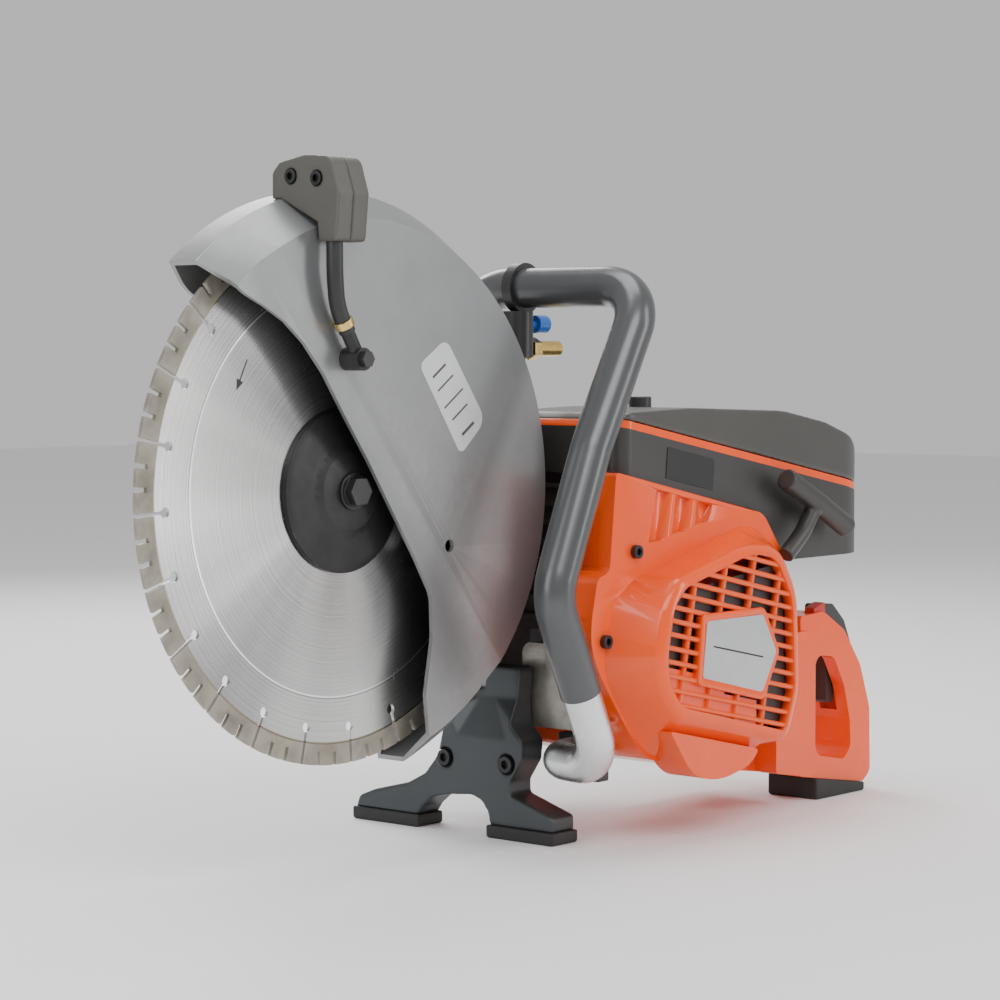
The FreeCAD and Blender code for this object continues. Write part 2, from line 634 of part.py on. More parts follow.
def make_engine():
    """Crankcase, finned cylinder, plug, muffler, carburettor and air filter."""
    y = size("cylinder_y")
    seat = "Sizes.bearing_radius + 1"
    case = cut(
        "crankcase",
        plate("crankcase_block", [(-46, -50, 12), (62, -50, 12), (62, 40), (-46, 40)], -56, 28),
        cylinder("crank_chamber", 42, 48, (0, -40, 0)),
        cylinder("crank_bearing_seat", seat, 100, (0, -60, 0)),
        cylinder("cylinder_opening", 30, 45, (0, y, 0), "z"))
    finish(case, "crankcase", on_engine=True)

    deck, head_top = 40, 128
    fin_pitch, fin_thickness, fin_half_u, fin_half_y = 8, 2.2, 47, 39
    fins = [box("fin_%02d" % i, (-fin_half_u, y - fin_half_y, deck + 12 + fin_pitch * i),
                (fin_half_u, y + fin_half_y, deck + 12 + fin_pitch * i + fin_thickness))
            for i in range(10)]
    barrel = fuse("cylinder_solid",
                  box("cylinder_foot", (-40, y - 38, deck), (40, y + 38, deck + 6)),
                  cylinder("cylinder_barrel", 35, head_top - deck, (0, y, deck), "z"), *fins)
    finish(cut("cylinder", barrel,
               cylinder("cylinder_bore", "Sizes.bore_radius", 80, (0, y, deck - 1), "z"),
               cylinder("plug_thread_hole", 5, 30, (0, y, head_top - 20), "z")), "cylinder", on_engine=True)
    plug = fuse("spark_plug_solid",
                cylinder("plug_thread", 4.95, 9, (0, y, head_top - 9), "z"),
                hexagon("plug_hexagon", 9.5, 7, (0, y, head_top), "z"),
                cylinder("plug_insulator", 5, 18, (0, y, head_top + 7), "z"))
    finish(plug, "spark_plug", on_engine=True)
    cap = cut("plug_cap",
              fuse("plug_cap_solid",
                   cylinder("plug_cap_body", 8, 20, (0, y, head_top + 9), "z"),
                   cylinder("plug_cap_outlet", 4.5, 22, (0, y, head_top + 22), "y")),
              cylinder("plug_cap_hollow", 5.1, 17.5, (0, y, head_top + 8.5), "z"))
    finish(cap, "spark_plug_cap", on_engine=True)

    muffler = cut("muffler",
                  plate("muffler_outside", [(-55, -170, 8), (6, -170, 8), (6, -112, 8), (-55, -112, 8)],
                        188, 208, plane="YZ_Plane"),
                  plate("muffler_inside", [(-53, -168, 6), (4, -168, 6), (4, -114, 6), (-53, -114, 6)],
                        190, 206, plane="YZ_Plane"),
                  cylinder("muffler_outlet", 6, 6, (186, -42, -156), "x"))
    finish(muffler, "muffler")

    carburettor = cut(
        "carburettor",
        fuse("carburettor_solid",
             box("carburettor_block", (58, y - 19, 64), (82, y + 19, 100)),
             cylinder("carburettor_inlet", 16, 29, (56, y, 82), "x")),
        cylinder("carburettor_venturi", 11, 40, (54, y, 82), "x"))
    finish(carburettor, "carburettor", on_engine=True)
    boot = cut("intake_boot",
               cylinder("intake_boot_outside", 17, 9, (47, y, 82), "x"),
               cylinder("intake_boot_inside", 12, 10, (46.5, y, 82), "x"))
    finish(boot, "intake_boot", on_engine=True)
    element = cut("air_filter",
                  plate("air_filter_block", [(396, -50, 8), (478, -50, 8), (478, 10, 8), (396, 10, 8)],
                        -46, 6, plane="XY_Plane"),
                  plate("air_filter_hollow", [(410, -38, 6), (466, -38, 6), (466, -2, 6), (410, -2, 6)],
                        -40, 0, plane="XY_Plane"))
    finish(element, "air_filter")

    mounts = [cylinder("vibration_mount_%d" % i, 9, 14, (62, along_y, up), "x")
              for i, (along_y, up) in enumerate([(-40, -28), (12, -28), (-14, 16)])]
    finish(group("vibration_mounts", *mounts), "vibration_mounts", on_engine=True)

    shroud = plate("shroud_block", [(-56, -104, 4), (26, -104, 4), (26, 34, 4), (-56, 34, 4)],
                   200, 206, plane="YZ_Plane")
    ribs = [box("shroud_rib_%02d" % i, (195.5, -54, -96 + 13 * i), (200, 24, -93 + 13 * i)) for i in range(10)]
    finish(fuse("front_shroud", shroud, *ribs), "front_shroud")


# ----------------------------------------------------------- casings and tank

def slanted_layer(name, start, end):
    """Wide slab between two heights measured from the trim line's plane."""
    trim_front_x, trim_front_z, trim_slope = 189, 41, -10.5
    slab = box(name, (-250, -200, start), (600, 200, end))
    turn = Rotation(Vector(0, 1, 0), -trim_slope)
    slab.Placement = Placement(Vector(trim_front_x, 0, trim_front_z), turn).multiply(slab.Placement)
    return slab


def make_top_covers():
    """Cylinder cover, orange trim band and air filter lid, cut from one hollow form."""
    wall = size("cover_wall")
    side = [(192, 6), (345, -25), (372, -58), (380, -63, 4), (496, -63, 8), (508, -45, 10),
            (506, -5, 16), (491, 14, 16), (471, 25, 20), (436, 36, 60), (384, 45, 80), (272, 49, 90),
            (204, 47, 6), (192, 40, 6)]
    hollow_side = [(195, -8), (343, -38), (377, -60), (494, -60, 6), (505, -45, 8), (503, -6, 13),
                   (489.5, 11.5, 13), (470, 22, 17), (435.5, 33, 57), (384, 42, 77), (272, 46, 87),
                   (205, 44, 4), (195, 38.5, 4)]
    left, right = -78, 34
    plan = [(192, left, 12), (510, left, 52), (510, right, 44), (192, right, 12)]
    outside = common("cover_outside",
                     plate("cover_side_form", side, left, right),
                     plate("cover_plan_form", plan, -90, 80, plane="XY_Plane"))
    hollow = common("cover_hollow",
                    plate("cover_hollow_side_form", hollow_side, left + wall, right - wall),
                    plate("cover_hollow_plan_form", inset(plan, wall), -90, 80, plane="XY_Plane"))
    button_x, button_y = 287, -20
    shell = cut("cover_shell", outside, hollow,
                cylinder("cover_button_hole", 8.4, 30, (button_x, button_y, 30), "z"),
                cylinder("cover_choke_hole", 5.4, 20, (495, -6, -36), "x"))
    half_band = 2.6
    layers = {"cylinder_cover": (-300, -half_band), "trim_band": (-half_band, half_band),
              "filter_lid": (half_band, 300)}
    for name, (start, end) in layers.items():
        finish(common(name, shell, slanted_layer(name + "_layer", start, end)), name)
    valve = fuse("decompression_valve_solid",
                 cylinder("decompression_cap", 8, 13, (button_x, button_y, 43), "z"),
                 cylinder("decompression_stem", 3, 9, (button_x, button_y, 34.5), "z"))
    finish(valve, "decompression_valve")
    choke = fuse("choke_knob_solid",
                 cylinder("choke_stem", 4.9, 16, (496, -6, -36), "x"),
                 cylinder("choke_head", 9, 6, (511, -6, -36), "x"))
    finish(choke, "choke_knob")


HOUSING_SCREWS = [(196, -46), (163, -104), (364, -84), (362, -172)]
BELT_COVER_SCREWS = [(-30, 40), (-30, -40), (40, 38)]


def make_starter_housing():
    """Orange starter housing with its fan bulge and air grille, plate, pulley and handle."""
    wall = size("cover_wall")
    left, inner_side = -86, -56
    main = [(176, 8), (345, -27), (370, -58), (372, -178, 6), (340, -193, 10), (271, -201, 20),
            (206, -187, 14), (182, -158, 12), (164, -134, 10), (150, -112, 12), (149, -92, 10),
            (156, -62, 4), (169, -58)]
    bulge = [(233, -40, 24), (300, -34, 14), (346, -54, 10), (352, -92, 16), (346, -182, 12),
             (272, -196, 20), (204, -182, 20), (172, -146, 26), (168, -110, 22), (190, -72, 24)]
    bulge_left = -116
    openings = []
    row_height, row_gap, columns = 5.4, 9.2, (-58, -36, -14, 8, 30)
    for row in range(11):
        for column in columns:
            low = (column, bulge_left - 6, 42 - row_gap * row)
            high = (column + 19, bulge_left + wall + 1, 42 - row_gap * row + row_height)
            slot = box("grille_slot_%d_%d" % (row, columns.index(column)), low, high)
            openings.append(slot)
    slots = doc.addObject("Part::Compound", "grille_slots")
    slots.Links = openings
    slots.Placement = Placement(Vector(size("crank_x"), 0, size("crank_z")),
                                Rotation(Vector(0, 1, 0), size("engine_tilt")))
    grille = [(246, -62), (291, -48), (327, -58), (336, -86), (336, -150), (328, -176), (295, -166),
              (204, -150), (192, -133), (192, -112), (200, -84), (218, -70)]
    grille_cut = common("grille_cut", slots, plate("grille_form", grille, bulge_left - 8, bulge_left + 8))
    screw_holes = [cylinder("housing_screw_hole_%d" % i, "Sizes.screw_radius + 0.1", 8, (x, left - 2, z))
                   for i, (x, z) in enumerate(HOUSING_SCREWS)]
    housing = cut(
        "starter_shell",
        fuse("starter_housing_solid",
             plate("starter_main_form", main, left, inner_side),
             plate("starter_bulge_form", bulge, bulge_left, left + 2)),
        plate("starter_main_hollow", inset(main, wall), left + wall, inner_side + 5),
        plate("starter_bulge_hollow", inset(bulge, wall), bulge_left + wall, left + 5),
        grille_cut, *screw_holes)
    post = fuse("starter_post",
                cylinder("starter_post_pin", 5.95, 15, (size("crank_x"), -109, size("crank_z"))),
                cylinder("starter_post_foot", 14, 5, (size("crank_x"), -114, size("crank_z"))))
    finish(fuse("starter_housing", housing, post), "starter_housing")
    pentagon = [(236, -94, 3), (301, -94, 3), (317, -121, 3), (300, -148, 3), (231, -132, 3)]
    finish(plate("starter_plate", pentagon, bulge_left - 1.6, bulge_left), "starter_plate")

    pulley_near, pulley_far = -108, -95
    finish(turned("starter_pulley", [
        (6, pulley_near), (33, pulley_near, 1), (33, pulley_near + 3), (26, pulley_near + 5),
        (26, pulley_far - 4), (33, pulley_far - 2), (33, pulley_far), (6, pulley_far)]),
        "starter_pulley", on_engine=True)
    grip_y = -93
    bar = rod("starter_bar", [(363, grip_y, -3), (400, grip_y - 1, -21), (440, grip_y, -41)], 120, 8)
    foot = (362.5, grip_y, -58)
    stem = rod("starter_stem", [(401, grip_y, -22), (383, grip_y, -43), foot], 40, 6)
    finish(fuse("starter_handle", bar, stem), "starter_handle")


def make_tank_and_handle():
    """Fuel tank casing, filler cap, rear handle halves with their controls, and the rear foot."""
    wall = size("cover_wall")
    low_front, high_front = in_saw_frame((76, 0, -66)), in_saw_frame((76, 0, 24))
    rear_x = 424
    thin = [(207, -171), (322, -194.5), (330, -212), (264, -199, 20), (210, -184, 6)]
    deep = [(low_front.x, low_front.z), (high_front.x, high_front.z), (398, -106, 12), (rear_x, -114),
            (rear_x, -226, 3), (395, -221, 10), (322, -210), (322, -195)]
    tank = cut(
        "fuel_tank",
        fuse("tank_solid",
             plate("tank_tray", thin, -54, 26),
             plate("tank_deep_form", deep, -54, 26),
             plate("tank_side_form", [(382, -118, 6), (rear_x, -118), (rear_x, -226, 3), (382, -219, 3)],
                   -72, -40)),
        plate("tank_hollow", inset(deep[:6] + [(345, -211)], wall), -50, 22),
        cylinder("tank_filler", 15, 30, (400, 4, -160)))
    finish(tank, "fuel_tank")
    cap = fuse("fuel_cap_solid",
               cylinder("fuel_cap_disc", 19, 9, (400, 26.3, -160)),
               cylinder("fuel_cap_thread", 14.6, 6, (400, 20.5, -160)),
               box("fuel_cap_bar", (386, 35, -163), (414, 39, -157)))
    finish(cap, "fuel_cap")

    outer = [(rear_x, -108, 3), (454, -106, 14), (482, -122, 18), (504, -150, 20), (517, -184, 20),
             (518, -233, 8), (508, -240, 4), (rear_x, -227, 3)]
    opening = [(444, -138, 8), (468, -141, 10), (482, -164, 14), (490, -190, 14), (491, -212, 8),
               (482, -220, 8), (444, -213, 10)]
    trigger_slot = [(463, -121, 4), (484, -125, 6), (497, -142, 8), (500, -165, 6), (494, -184, 4),
                    (464, -184, 4)]
    lockout_slot = [(461, -98), (515, -98), (515, -157), (502, -157, 4), (484, -135, 4), (479, -129),
                    (461, -129)]
    pivots = {"trigger": (474, -134), "lockout": (470, -120)}
    pin_radius, pin_clearance = 2.4, 0.05
    slot_near, slot_far = -53.5, -38.5
    left, middle, right = size("handle_left"), size("handle_middle"), size("handle_right")
    for name, near, far in (("rear_handle_left", left, middle), ("rear_handle_right", middle, right)):
        half = cut(name + "_shell",
                   plate(name + "_form", outer, near, far),
                   plate(name + "_opening", opening, left - 1, right + 1),
                   plate(name + "_trigger_slot", trigger_slot, slot_near, slot_far),
                   plate(name + "_lockout_slot", lockout_slot, slot_near, slot_far),
                   box(name + "_switch_seat", (441, -63, -108), (467, -53, -96)))
        pin_start = slot_near - 1 if near == left else middle
        pins = [cylinder("%s_%s_pin" % (name, lever), pin_radius, middle - slot_near + 1, (x, pin_start, z))
                for lever, (x, z) in pivots.items()]
        finish(fuse(name, half, *pins), name)
    lever_near, lever_far = -52, -40
    trigger = [(469, -129, 3), (479, -129, 4), (487, -146, 8), (488, -160, 8), (485, -178, 4), (476, -178, 3),
               (476, -160, 8), (474, -142, 6)]
    lockout = [(464, -102, 3), (484, -103, 6), (500, -117, 8), (510, -138, 4), (505, -146, 3), (496, -134, 8),
               (482, -117, 8), (475.5, -113, 2), (475.5, -125.5, 4.5), (464.5, -125.5, 4.5), (464.5, -110)]
    for lever, outline in (("trigger", trigger), ("lockout", lockout)):
        pivot_hole = (*pivots[lever], pin_radius + pin_clearance)
        finish(plate("throttle_" + lever, outline, lever_near, lever_far, [pivot_hole]), "throttle_" + lever)
    rocker = [(444, -103.5, 2), (458, -99, 2), (459, -107.98), (444, -107.98)]
    finish(plate("stop_switch", rocker, -62.5, -53.5), "stop_switch")

    (tail_x, tail_z), (root_x, root_z) = outer[-2][:2], outer[-1][:2]

    def handle_bottom(x):
        return tail_z + (x - tail_x) * (root_z - tail_z) / (root_x - tail_x)

    foot_front, foot_rear = 440, 505
    sole = [(foot_front, -246, 2), (foot_rear, -246, 2), (foot_rear, handle_bottom(foot_rear) - 0.01),
            (foot_front, handle_bottom(foot_front) - 0.01)]
    foot = cut("rear_foot",
               plate("rear_foot_block", sole, left - 4, right + 4),
               cylinder("rear_foot_hole_front", "Sizes.screw_radius + 2.5", 8, (452, middle, -248), "z"),
               cylinder("rear_foot_hole_rear", "Sizes.screw_radius + 2.5", 6, (492, middle, -248), "z"))
    finish(foot, "rear_foot")


# ------------------------------------------------- front handle, stand, water

def make_front_handle():
    """Bent aluminium tube with its soft sleeve, and the clamps at its two ends."""
    right_end, top_right, top_left = (165, 66, 0), (207, 66, 132), (207, -88, 132)
    right_knee, left_knee, left_elbow = (165, 66, 44), (146, -88, 24), (106, -88, -70)
    low_corner, tuck, end = (160, -88, -188), (170, -36, -188), (206, -36, -188)
    route = [right_end, right_knee, top_right, top_left, left_knee, left_elbow, low_corner, tuck, end]
    bend = size("tube_bend")
    tube = cut("front_handle_tube",
               rod("handle_tube_outside", route, bend, "Sizes.tube_radius"),
               rod("handle_tube_inside", route, bend, "Sizes.tube_bore"))
    finish(tube, "front_handle_tube")

    def between(first, second, share):
        return tuple(a + (b - a) * share for a, b in zip(first, second))

    sleeve_route = ([between(right_end, right_knee, 0.4)] + route[1:6]
                    + [between(left_elbow, low_corner, 0.56)])
    sleeve = cut("front_handle_sleeve",
                 rod("sleeve_outside", sleeve_route, bend, "Sizes.grip_radius"),
                 rod("sleeve_inside", sleeve_route, bend, "Sizes.tube_radius"))
    finish(sleeve, "front_handle_sleeve")

    upper = cut("upper_clamp",
                box("upper_clamp_block", (144, 36, -6), (183, 82, 14)),
                cylinder("upper_clamp_bore", "Sizes.tube_radius", 16, right_end, "z"),
                stadium_plate("upper_clamp_seat", 62, 50, 20, 61))
    lower = cut("lower_clamp",
                box("lower_clamp_block", (200, -52, -206), (212, -16, -174)),
                cylinder("lower_clamp_bore", "Sizes.tube_radius", 6.2, (199.8, *end[1:]), "x"),
                plate("lower_clamp_seat", [(205, -169), (322, -193), (340, -212), (264, -199), (208, -184)],
                      -60, 30))
    finish(group("handle_clamps", upper, lower), "handle_clamps")


def make_stand():
    """Cast front stand on two rubber pads; returns its screws."""
    outline = [(-42, -237), (-42, -227, 3), (-20, -220, 6), (-4, -215, 3), (-4, -206, 4), (-14, -191, 8),
               (-15, -177, 6), (-5, -167, 6), (-4, -150), (-6, -128, 3), (25, -128, 3), (26, -144),
               (49, -146, 6), (54, -162, 10), (62, -193, 20), (74, -207, 10), (90, -215, 10), (122, -223, 10),
               (137, -229, 4), (140, -237), (81, -237), (77, -231, 6), (67, -223, 8), (52, -220),
               (31, -218), (22, -221, 6), (16, -228, 6), (14, -237)]
    near, far = 162, 186
    body = plate("stand_casting", outline, near, far, plane="YZ_Plane")
    lug = box("stand_lug", (far - 1, 10, -169), (210, 26, -150))
    places = [(55, -194), (-1, -194)]
    holes = [cylinder("stand_hole_%d" % i, "Sizes.screw_radius + 0.1", 30, (near - 2, y, z), "x")
             for i, (y, z) in enumerate(places)]
    seats = [cylinder("stand_head_seat_%d" % i, 7, 4, (near - 0.5, y, z), "x")
             for i, (y, z) in enumerate(places)]
    finish(cut("stand", fuse("stand_solid", body, lug), *holes, *seats), "stand")
    screws = [screw("stand_screw_%d" % i, (near + 3.5, y, z), 20, "x", 5.6, 5)
              for i, (y, z) in enumerate(places)]

    def pad(name, low_y, high_y):
        foot = plate(name, [(low_y, -246, 2), (high_y, -246, 2), (high_y, -237), (low_y, -237)],
                     near - 1.5, far + 1.5, plane="YZ_Plane")
        return foot

    finish(group("stand_pads", pad("stand_pad_left", -44, 16), pad("stand_pad_right", 79, 142)), "stand_pads")
    return screws


def make_water_line():
    """Water valve under the handle's crossbar, its knob, inlet nipple and the hose to the guard."""
    valve_x, valve_y, knob_z, inlet_z = 203, 22, 107, 90
    valve = fuse("water_valve_solid",
                 cylinder("valve_body", 10.5, 32, (valve_x, valve_y, 84), "z"),
                 cylinder("valve_outlet", 5, 8, (valve_x, valve_y, 76.9), "z"))
    clamp = cut("valve_clamp",
                cylinder("valve_clamp_ring", 17.5, 8, (207, 18, 132)),
                cylinder("valve_clamp_bore", "Sizes.grip_radius", 30, (207, 8, 132)))
    finish(fuse("water_valve", valve, clamp), "water_valve")
    finish(fuse("water_knob",
                cylinder("water_knob_stem", 3, 6, (214, valve_y, knob_z), "x"),
                cylinder("water_knob_head", 6.4, 12, (220, valve_y, knob_z), "x")), "water_knob")
    finish(cut("water_inlet",
               fuse("water_inlet_solid",
                    hexagon("inlet_nut", 8, 8, (213.6, valve_y, inlet_z), "x"),
                    cylinder("inlet_nipple", 5.5, 24, (221.6, valve_y, inlet_z), "x")),
               cylinder("inlet_bore", 3.2, 34, (213, valve_y, inlet_z), "x")), "water_inlet")
    route = [(valve_x, valve_y, 76.8), (valve_x, valve_y, 58), (184, 40, 50), (150, 42, 80), (110, 42, 118),
             (72, 42, 148), (62, 41, 151), (62, 31, 150)]
    finish(rod("water_hose", route, 40, "Sizes.hose_radius"), "water_hose")


def make_screws(stand_screws):
    """Cap screws that hold the starter housing, the belt cover and the stand."""
    screws = [screw("housing_screw_%d" % i, (x, -86, z), 2.9, "y", 4.6, 4)
              for i, (x, z) in enumerate(HOUSING_SCREWS)]
    screws += [screw("belt_cover_screw_%d" % i, (x, 57.1, z), 2.9, "y", 4.6, 4, flip=True)
               for i, (x, z) in enumerate(BELT_COVER_SCREWS)]
    finish(group("socket_screws", *screws, *stand_screws), "socket_screws")


make_blade()
make_spindle()
make_arm()
make_guard()
make_crank()
make_engine()
make_top_covers()
make_starter_housing()
make_tank_and_handle()
make_front_handle()
screws_of_stand = make_stand()
make_water_line()
make_screws(screws_of_stand)

doc.recompute()
failed = [thing.Name for thing in doc.Objects
          if "Invalid" in thing.State or "Error" in thing.State]
for piece in parts:
    if piece.Shape.isNull() or not piece.Shape.isValid() or not piece.Shape.Solids:
        failed.append(piece.Label)
if failed:
    raise RuntimeError("these objects did not come out right: " + ", ".join(sorted(set(failed))))

os.makedirs("parts", exist_ok=True)
for piece in parts:
    piece.Shape.exportStep(os.path.join("parts", piece.Label + ".step"))
    bound = piece.Shape.BoundBox
    print("%-22s solids %2d  volume %9.0f mm3  x %6.1f..%6.1f  y %6.1f..%6.1f  z %6.1f..%6.1f" % (
        piece.Label, len(piece.Shape.Solids), piece.Shape.Volume, bound.XMin, bound.XMax,
        bound.YMin, bound.YMax, bound.ZMin, bound.ZMax))
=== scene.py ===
import json
import math

import bmesh
import bpy
from mathutils import Matrix, Vector

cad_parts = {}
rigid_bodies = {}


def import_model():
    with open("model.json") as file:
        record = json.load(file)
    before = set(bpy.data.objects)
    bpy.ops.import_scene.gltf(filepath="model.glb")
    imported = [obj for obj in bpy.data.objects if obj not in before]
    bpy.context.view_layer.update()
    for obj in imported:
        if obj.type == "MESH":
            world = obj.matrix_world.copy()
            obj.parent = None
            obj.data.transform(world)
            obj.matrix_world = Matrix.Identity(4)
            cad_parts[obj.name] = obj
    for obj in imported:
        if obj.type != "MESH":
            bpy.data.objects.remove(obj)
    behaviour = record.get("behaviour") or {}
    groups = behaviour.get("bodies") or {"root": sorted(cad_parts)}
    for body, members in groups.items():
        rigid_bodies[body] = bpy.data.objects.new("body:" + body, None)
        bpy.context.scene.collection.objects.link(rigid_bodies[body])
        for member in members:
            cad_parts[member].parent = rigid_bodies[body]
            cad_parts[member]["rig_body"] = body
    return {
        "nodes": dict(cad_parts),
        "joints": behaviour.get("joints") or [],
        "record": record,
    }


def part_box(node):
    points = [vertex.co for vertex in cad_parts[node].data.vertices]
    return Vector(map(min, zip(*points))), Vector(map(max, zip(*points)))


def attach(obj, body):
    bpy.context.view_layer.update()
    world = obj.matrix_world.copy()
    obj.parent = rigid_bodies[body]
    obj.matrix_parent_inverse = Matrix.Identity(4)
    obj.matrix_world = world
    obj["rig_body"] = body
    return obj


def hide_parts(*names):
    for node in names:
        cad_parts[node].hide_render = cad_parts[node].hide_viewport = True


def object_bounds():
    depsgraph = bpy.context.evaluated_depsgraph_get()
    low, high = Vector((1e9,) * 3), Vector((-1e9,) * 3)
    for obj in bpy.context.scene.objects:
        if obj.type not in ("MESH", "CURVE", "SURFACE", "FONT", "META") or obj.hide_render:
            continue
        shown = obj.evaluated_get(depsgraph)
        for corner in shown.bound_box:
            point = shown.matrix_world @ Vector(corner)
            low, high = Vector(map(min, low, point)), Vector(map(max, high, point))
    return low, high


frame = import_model()
cad_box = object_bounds()


# ---- Camera, floor and studio light
# A plain pale floor and a pale room, lit by large soft boxes. The camera stands low, to the front
# left of the saw.

camera_data = bpy.data.cameras.new("camera")
camera_data.lens = 102.456
camera_data.sensor_width = 36.0
camera = bpy.data.objects.new("camera", camera_data)
camera.location = (-1.4825, -1.2635, 0.339)
camera.rotation_euler = (math.radians(86.87), math.radians(0.08), math.radians(-49.51))
bpy.context.scene.collection.objects.link(camera)
bpy.context.scene.camera = camera

world = bpy.data.worlds.new("pale_room")
world.use_nodes = True
world.node_tree.nodes["Background"].inputs["Color"].default_value = (1.0, 1.0, 1.0, 1.0)
world.node_tree.nodes["Background"].inputs["Strength"].default_value = 0.62
bpy.context.scene.world = world

for light_name, spot, aim, width, height, power in (
        ("key_box", (-0.9, -1.5, 1.7), (0.0, 0.0, 0.2), 1.2, 1.2, 24.0),
        ("front_box", (-2.0, 0.3, 0.9), (-0.1, 0.0, 0.25), 1.0, 1.4, 14.0),
        ("side_strip", (1.0, -1.6, 0.9), (0.1, 0.0, 0.15), 0.4, 1.6, 12.0),
        ("top_box", (0.1, 0.2, 1.9), (0.0, 0.0, 0.0), 1.4, 1.0, 20.0),
        ("back_box", (0.9, 1.5, 1.2), (0.0, 0.0, 0.2), 1.0, 1.0, 18.0)):
    light_data = bpy.data.lights.new(light_name, "AREA")
    light_data.shape = "RECTANGLE"
    light_data.size = width
    light_data.size_y = height
    light_data.energy = power
    light = bpy.data.objects.new(light_name, light_data)
    light.location = spot
    light.rotation_euler = (Vector(aim) - Vector(spot)).to_track_quat("-Z", "Y").to_euler()
    bpy.context.scene.collection.objects.link(light)

floor_form = bmesh.new()
bmesh.ops.create_grid(floor_form, x_segments=1, y_segments=1, size=6.0)
floor_mesh = bpy.data.meshes.new("floor")
floor_form.to_mesh(floor_mesh)
floor_form.free()
floor_mesh.transform(Matrix.Translation((0.0, 0.0, cad_box[0][2])))
floor = bpy.data.objects.new("floor", floor_mesh)
bpy.context.scene.collection.objects.link(floor)
floor_material = bpy.data.materials.new("pale_floor")
floor_material.use_nodes = True
floor_shader = floor_material.node_tree.nodes["Principled BSDF"]
floor_shader.inputs["Base Color"].default_value = (0.86, 0.86, 0.86, 1.0)
floor_shader.inputs["Roughness"].default_value = 0.7
floor.data.materials.append(floor_material)


# ---- Blade
# A ground steel disc with a slotted rim and 24 sintered diamond segments brazed onto it. The disc is
# ground in circles, so it shines in fans, and lighter and darker fans are painted into its colour as well,
# as painted reflection. A painted highlight and a painted shadow run along one groove ring, and a printed
# arrow shows which way it turns.

spindle = Vector([joint for joint in frame["joints"] if joint["name"] == "blade_spin"][0]["pos_m"])
node_slots = {part["node"]: part["material_slot"] for part in frame["record"]["subparts"]}


def at(x, y, z):
    """The point that many millimetres from the middle of the spindle."""
    return spindle + Vector((x, y, z)) / 1000.0


def link(tree, start, end):
    """Joins an output of one shader node to an input of another."""
    tree.links.new(start, end)


def new_node(tree, kind, **values):
    """A node of that kind, with its own settings and the defaults of its inputs."""
    made = tree.nodes.new(kind)
    for key, value in values.items():
        if hasattr(made, key):
            setattr(made, key, value)
        else:
            made.inputs[key.replace("_", " ")].default_value = value
    return made


def shared_group(name, inputs, outputs):
    """An empty shader node group with these sockets, and its two end nodes."""
    tree = bpy.data.node_groups.new(name, "ShaderNodeTree")
    for direction, sockets in (("INPUT", inputs), ("OUTPUT", outputs)):
        for label, kind in sockets:
            tree.interface.new_socket(name=label, in_out=direction, socket_type=kind)
    return tree, tree.nodes.new("NodeGroupInput"), tree.nodes.new("NodeGroupOutput")


worn_surface, worn_in, worn_out = shared_group(
    "worn_surface",
    (("Color", "NodeSocketColor"), ("Wear Color", "NodeSocketColor"), ("Wear", "NodeSocketFloat"),
     ("Roughness", "NodeSocketFloat"), ("Spread", "NodeSocketFloat"), ("Grain Scale", "NodeSocketFloat"),
     ("Blotch", "NodeSocketFloat")),
    (("Color", "NodeSocketColor"), ("Roughness", "NodeSocketFloat"), ("Height", "NodeSocketFloat")))
place = new_node(worn_surface, "ShaderNodeTexCoord")
grain = new_node(worn_surface, "ShaderNodeTexNoise", Detail=2.0, Roughness=0.6)
blotch = new_node(worn_surface, "ShaderNodeTexNoise", Scale=38.0, Detail=4.0, Roughness=0.65)
smear = new_node(worn_surface, "ShaderNodeTexNoise", Scale=160.0, Detail=3.0, Roughness=0.7)
edge = new_node(worn_surface, "ShaderNodeNewGeometry")
edge_range = new_node(worn_surface, "ShaderNodeMapRange", From_Min=0.53, From_Max=0.62)
edge_broken = new_node(worn_surface, "ShaderNodeMath", operation="MULTIPLY")
edge_amount = new_node(worn_surface, "ShaderNodeMath", operation="MULTIPLY", use_clamp=True)
tone = new_node(worn_surface, "ShaderNodeMapRange", From_Min=0.3, From_Max=0.7)
tone_low = new_node(worn_surface, "ShaderNodeMath", operation="SUBTRACT")
tone_high = new_node(worn_surface, "ShaderNodeMath", operation="ADD")
tinted = new_node(worn_surface, "ShaderNodeVectorMath", operation="SCALE")
worn_colour = new_node(worn_surface, "ShaderNodeMix", data_type="RGBA")
uneven = new_node(worn_surface, "ShaderNodeMath", operation="SUBTRACT")
uneven.inputs[1].default_value = 0.5
spread = new_node(worn_surface, "ShaderNodeMath", operation="MULTIPLY")
rough = new_node(worn_surface, "ShaderNodeMath", operation="ADD", use_clamp=True)
tone_low.inputs[0].default_value = 1.0
tone_high.inputs[0].default_value = 1.0
for texture in (grain, blotch, smear):
    link(worn_surface, place.outputs["Object"], texture.inputs["Vector"])
link(worn_surface, worn_in.outputs["Grain Scale"], grain.inputs["Scale"])
link(worn_surface, edge.outputs["Pointiness"], edge_range.inputs["Value"])
link(worn_surface, edge_range.outputs["Result"], edge_broken.inputs[0])
link(worn_surface, smear.outputs["Fac"], edge_broken.inputs[1])
link(worn_surface, edge_broken.outputs[0], edge_amount.inputs[0])
link(worn_surface, worn_in.outputs["Wear"], edge_amount.inputs[1])
link(worn_surface, blotch.outputs["Fac"], tone.inputs["Value"])
link(worn_surface, worn_in.outputs["Blotch"], tone_low.inputs[1])
link(worn_surface, worn_in.outputs["Blotch"], tone_high.inputs[1])
link(worn_surface, tone_low.outputs[0], tone.inputs["To Min"])
link(worn_surface, tone_high.outputs[0], tone.inputs["To Max"])
link(worn_surface, worn_in.outputs["Color"], tinted.inputs[0])
link(worn_surface, tone.outputs["Result"], tinted.inputs["Scale"])
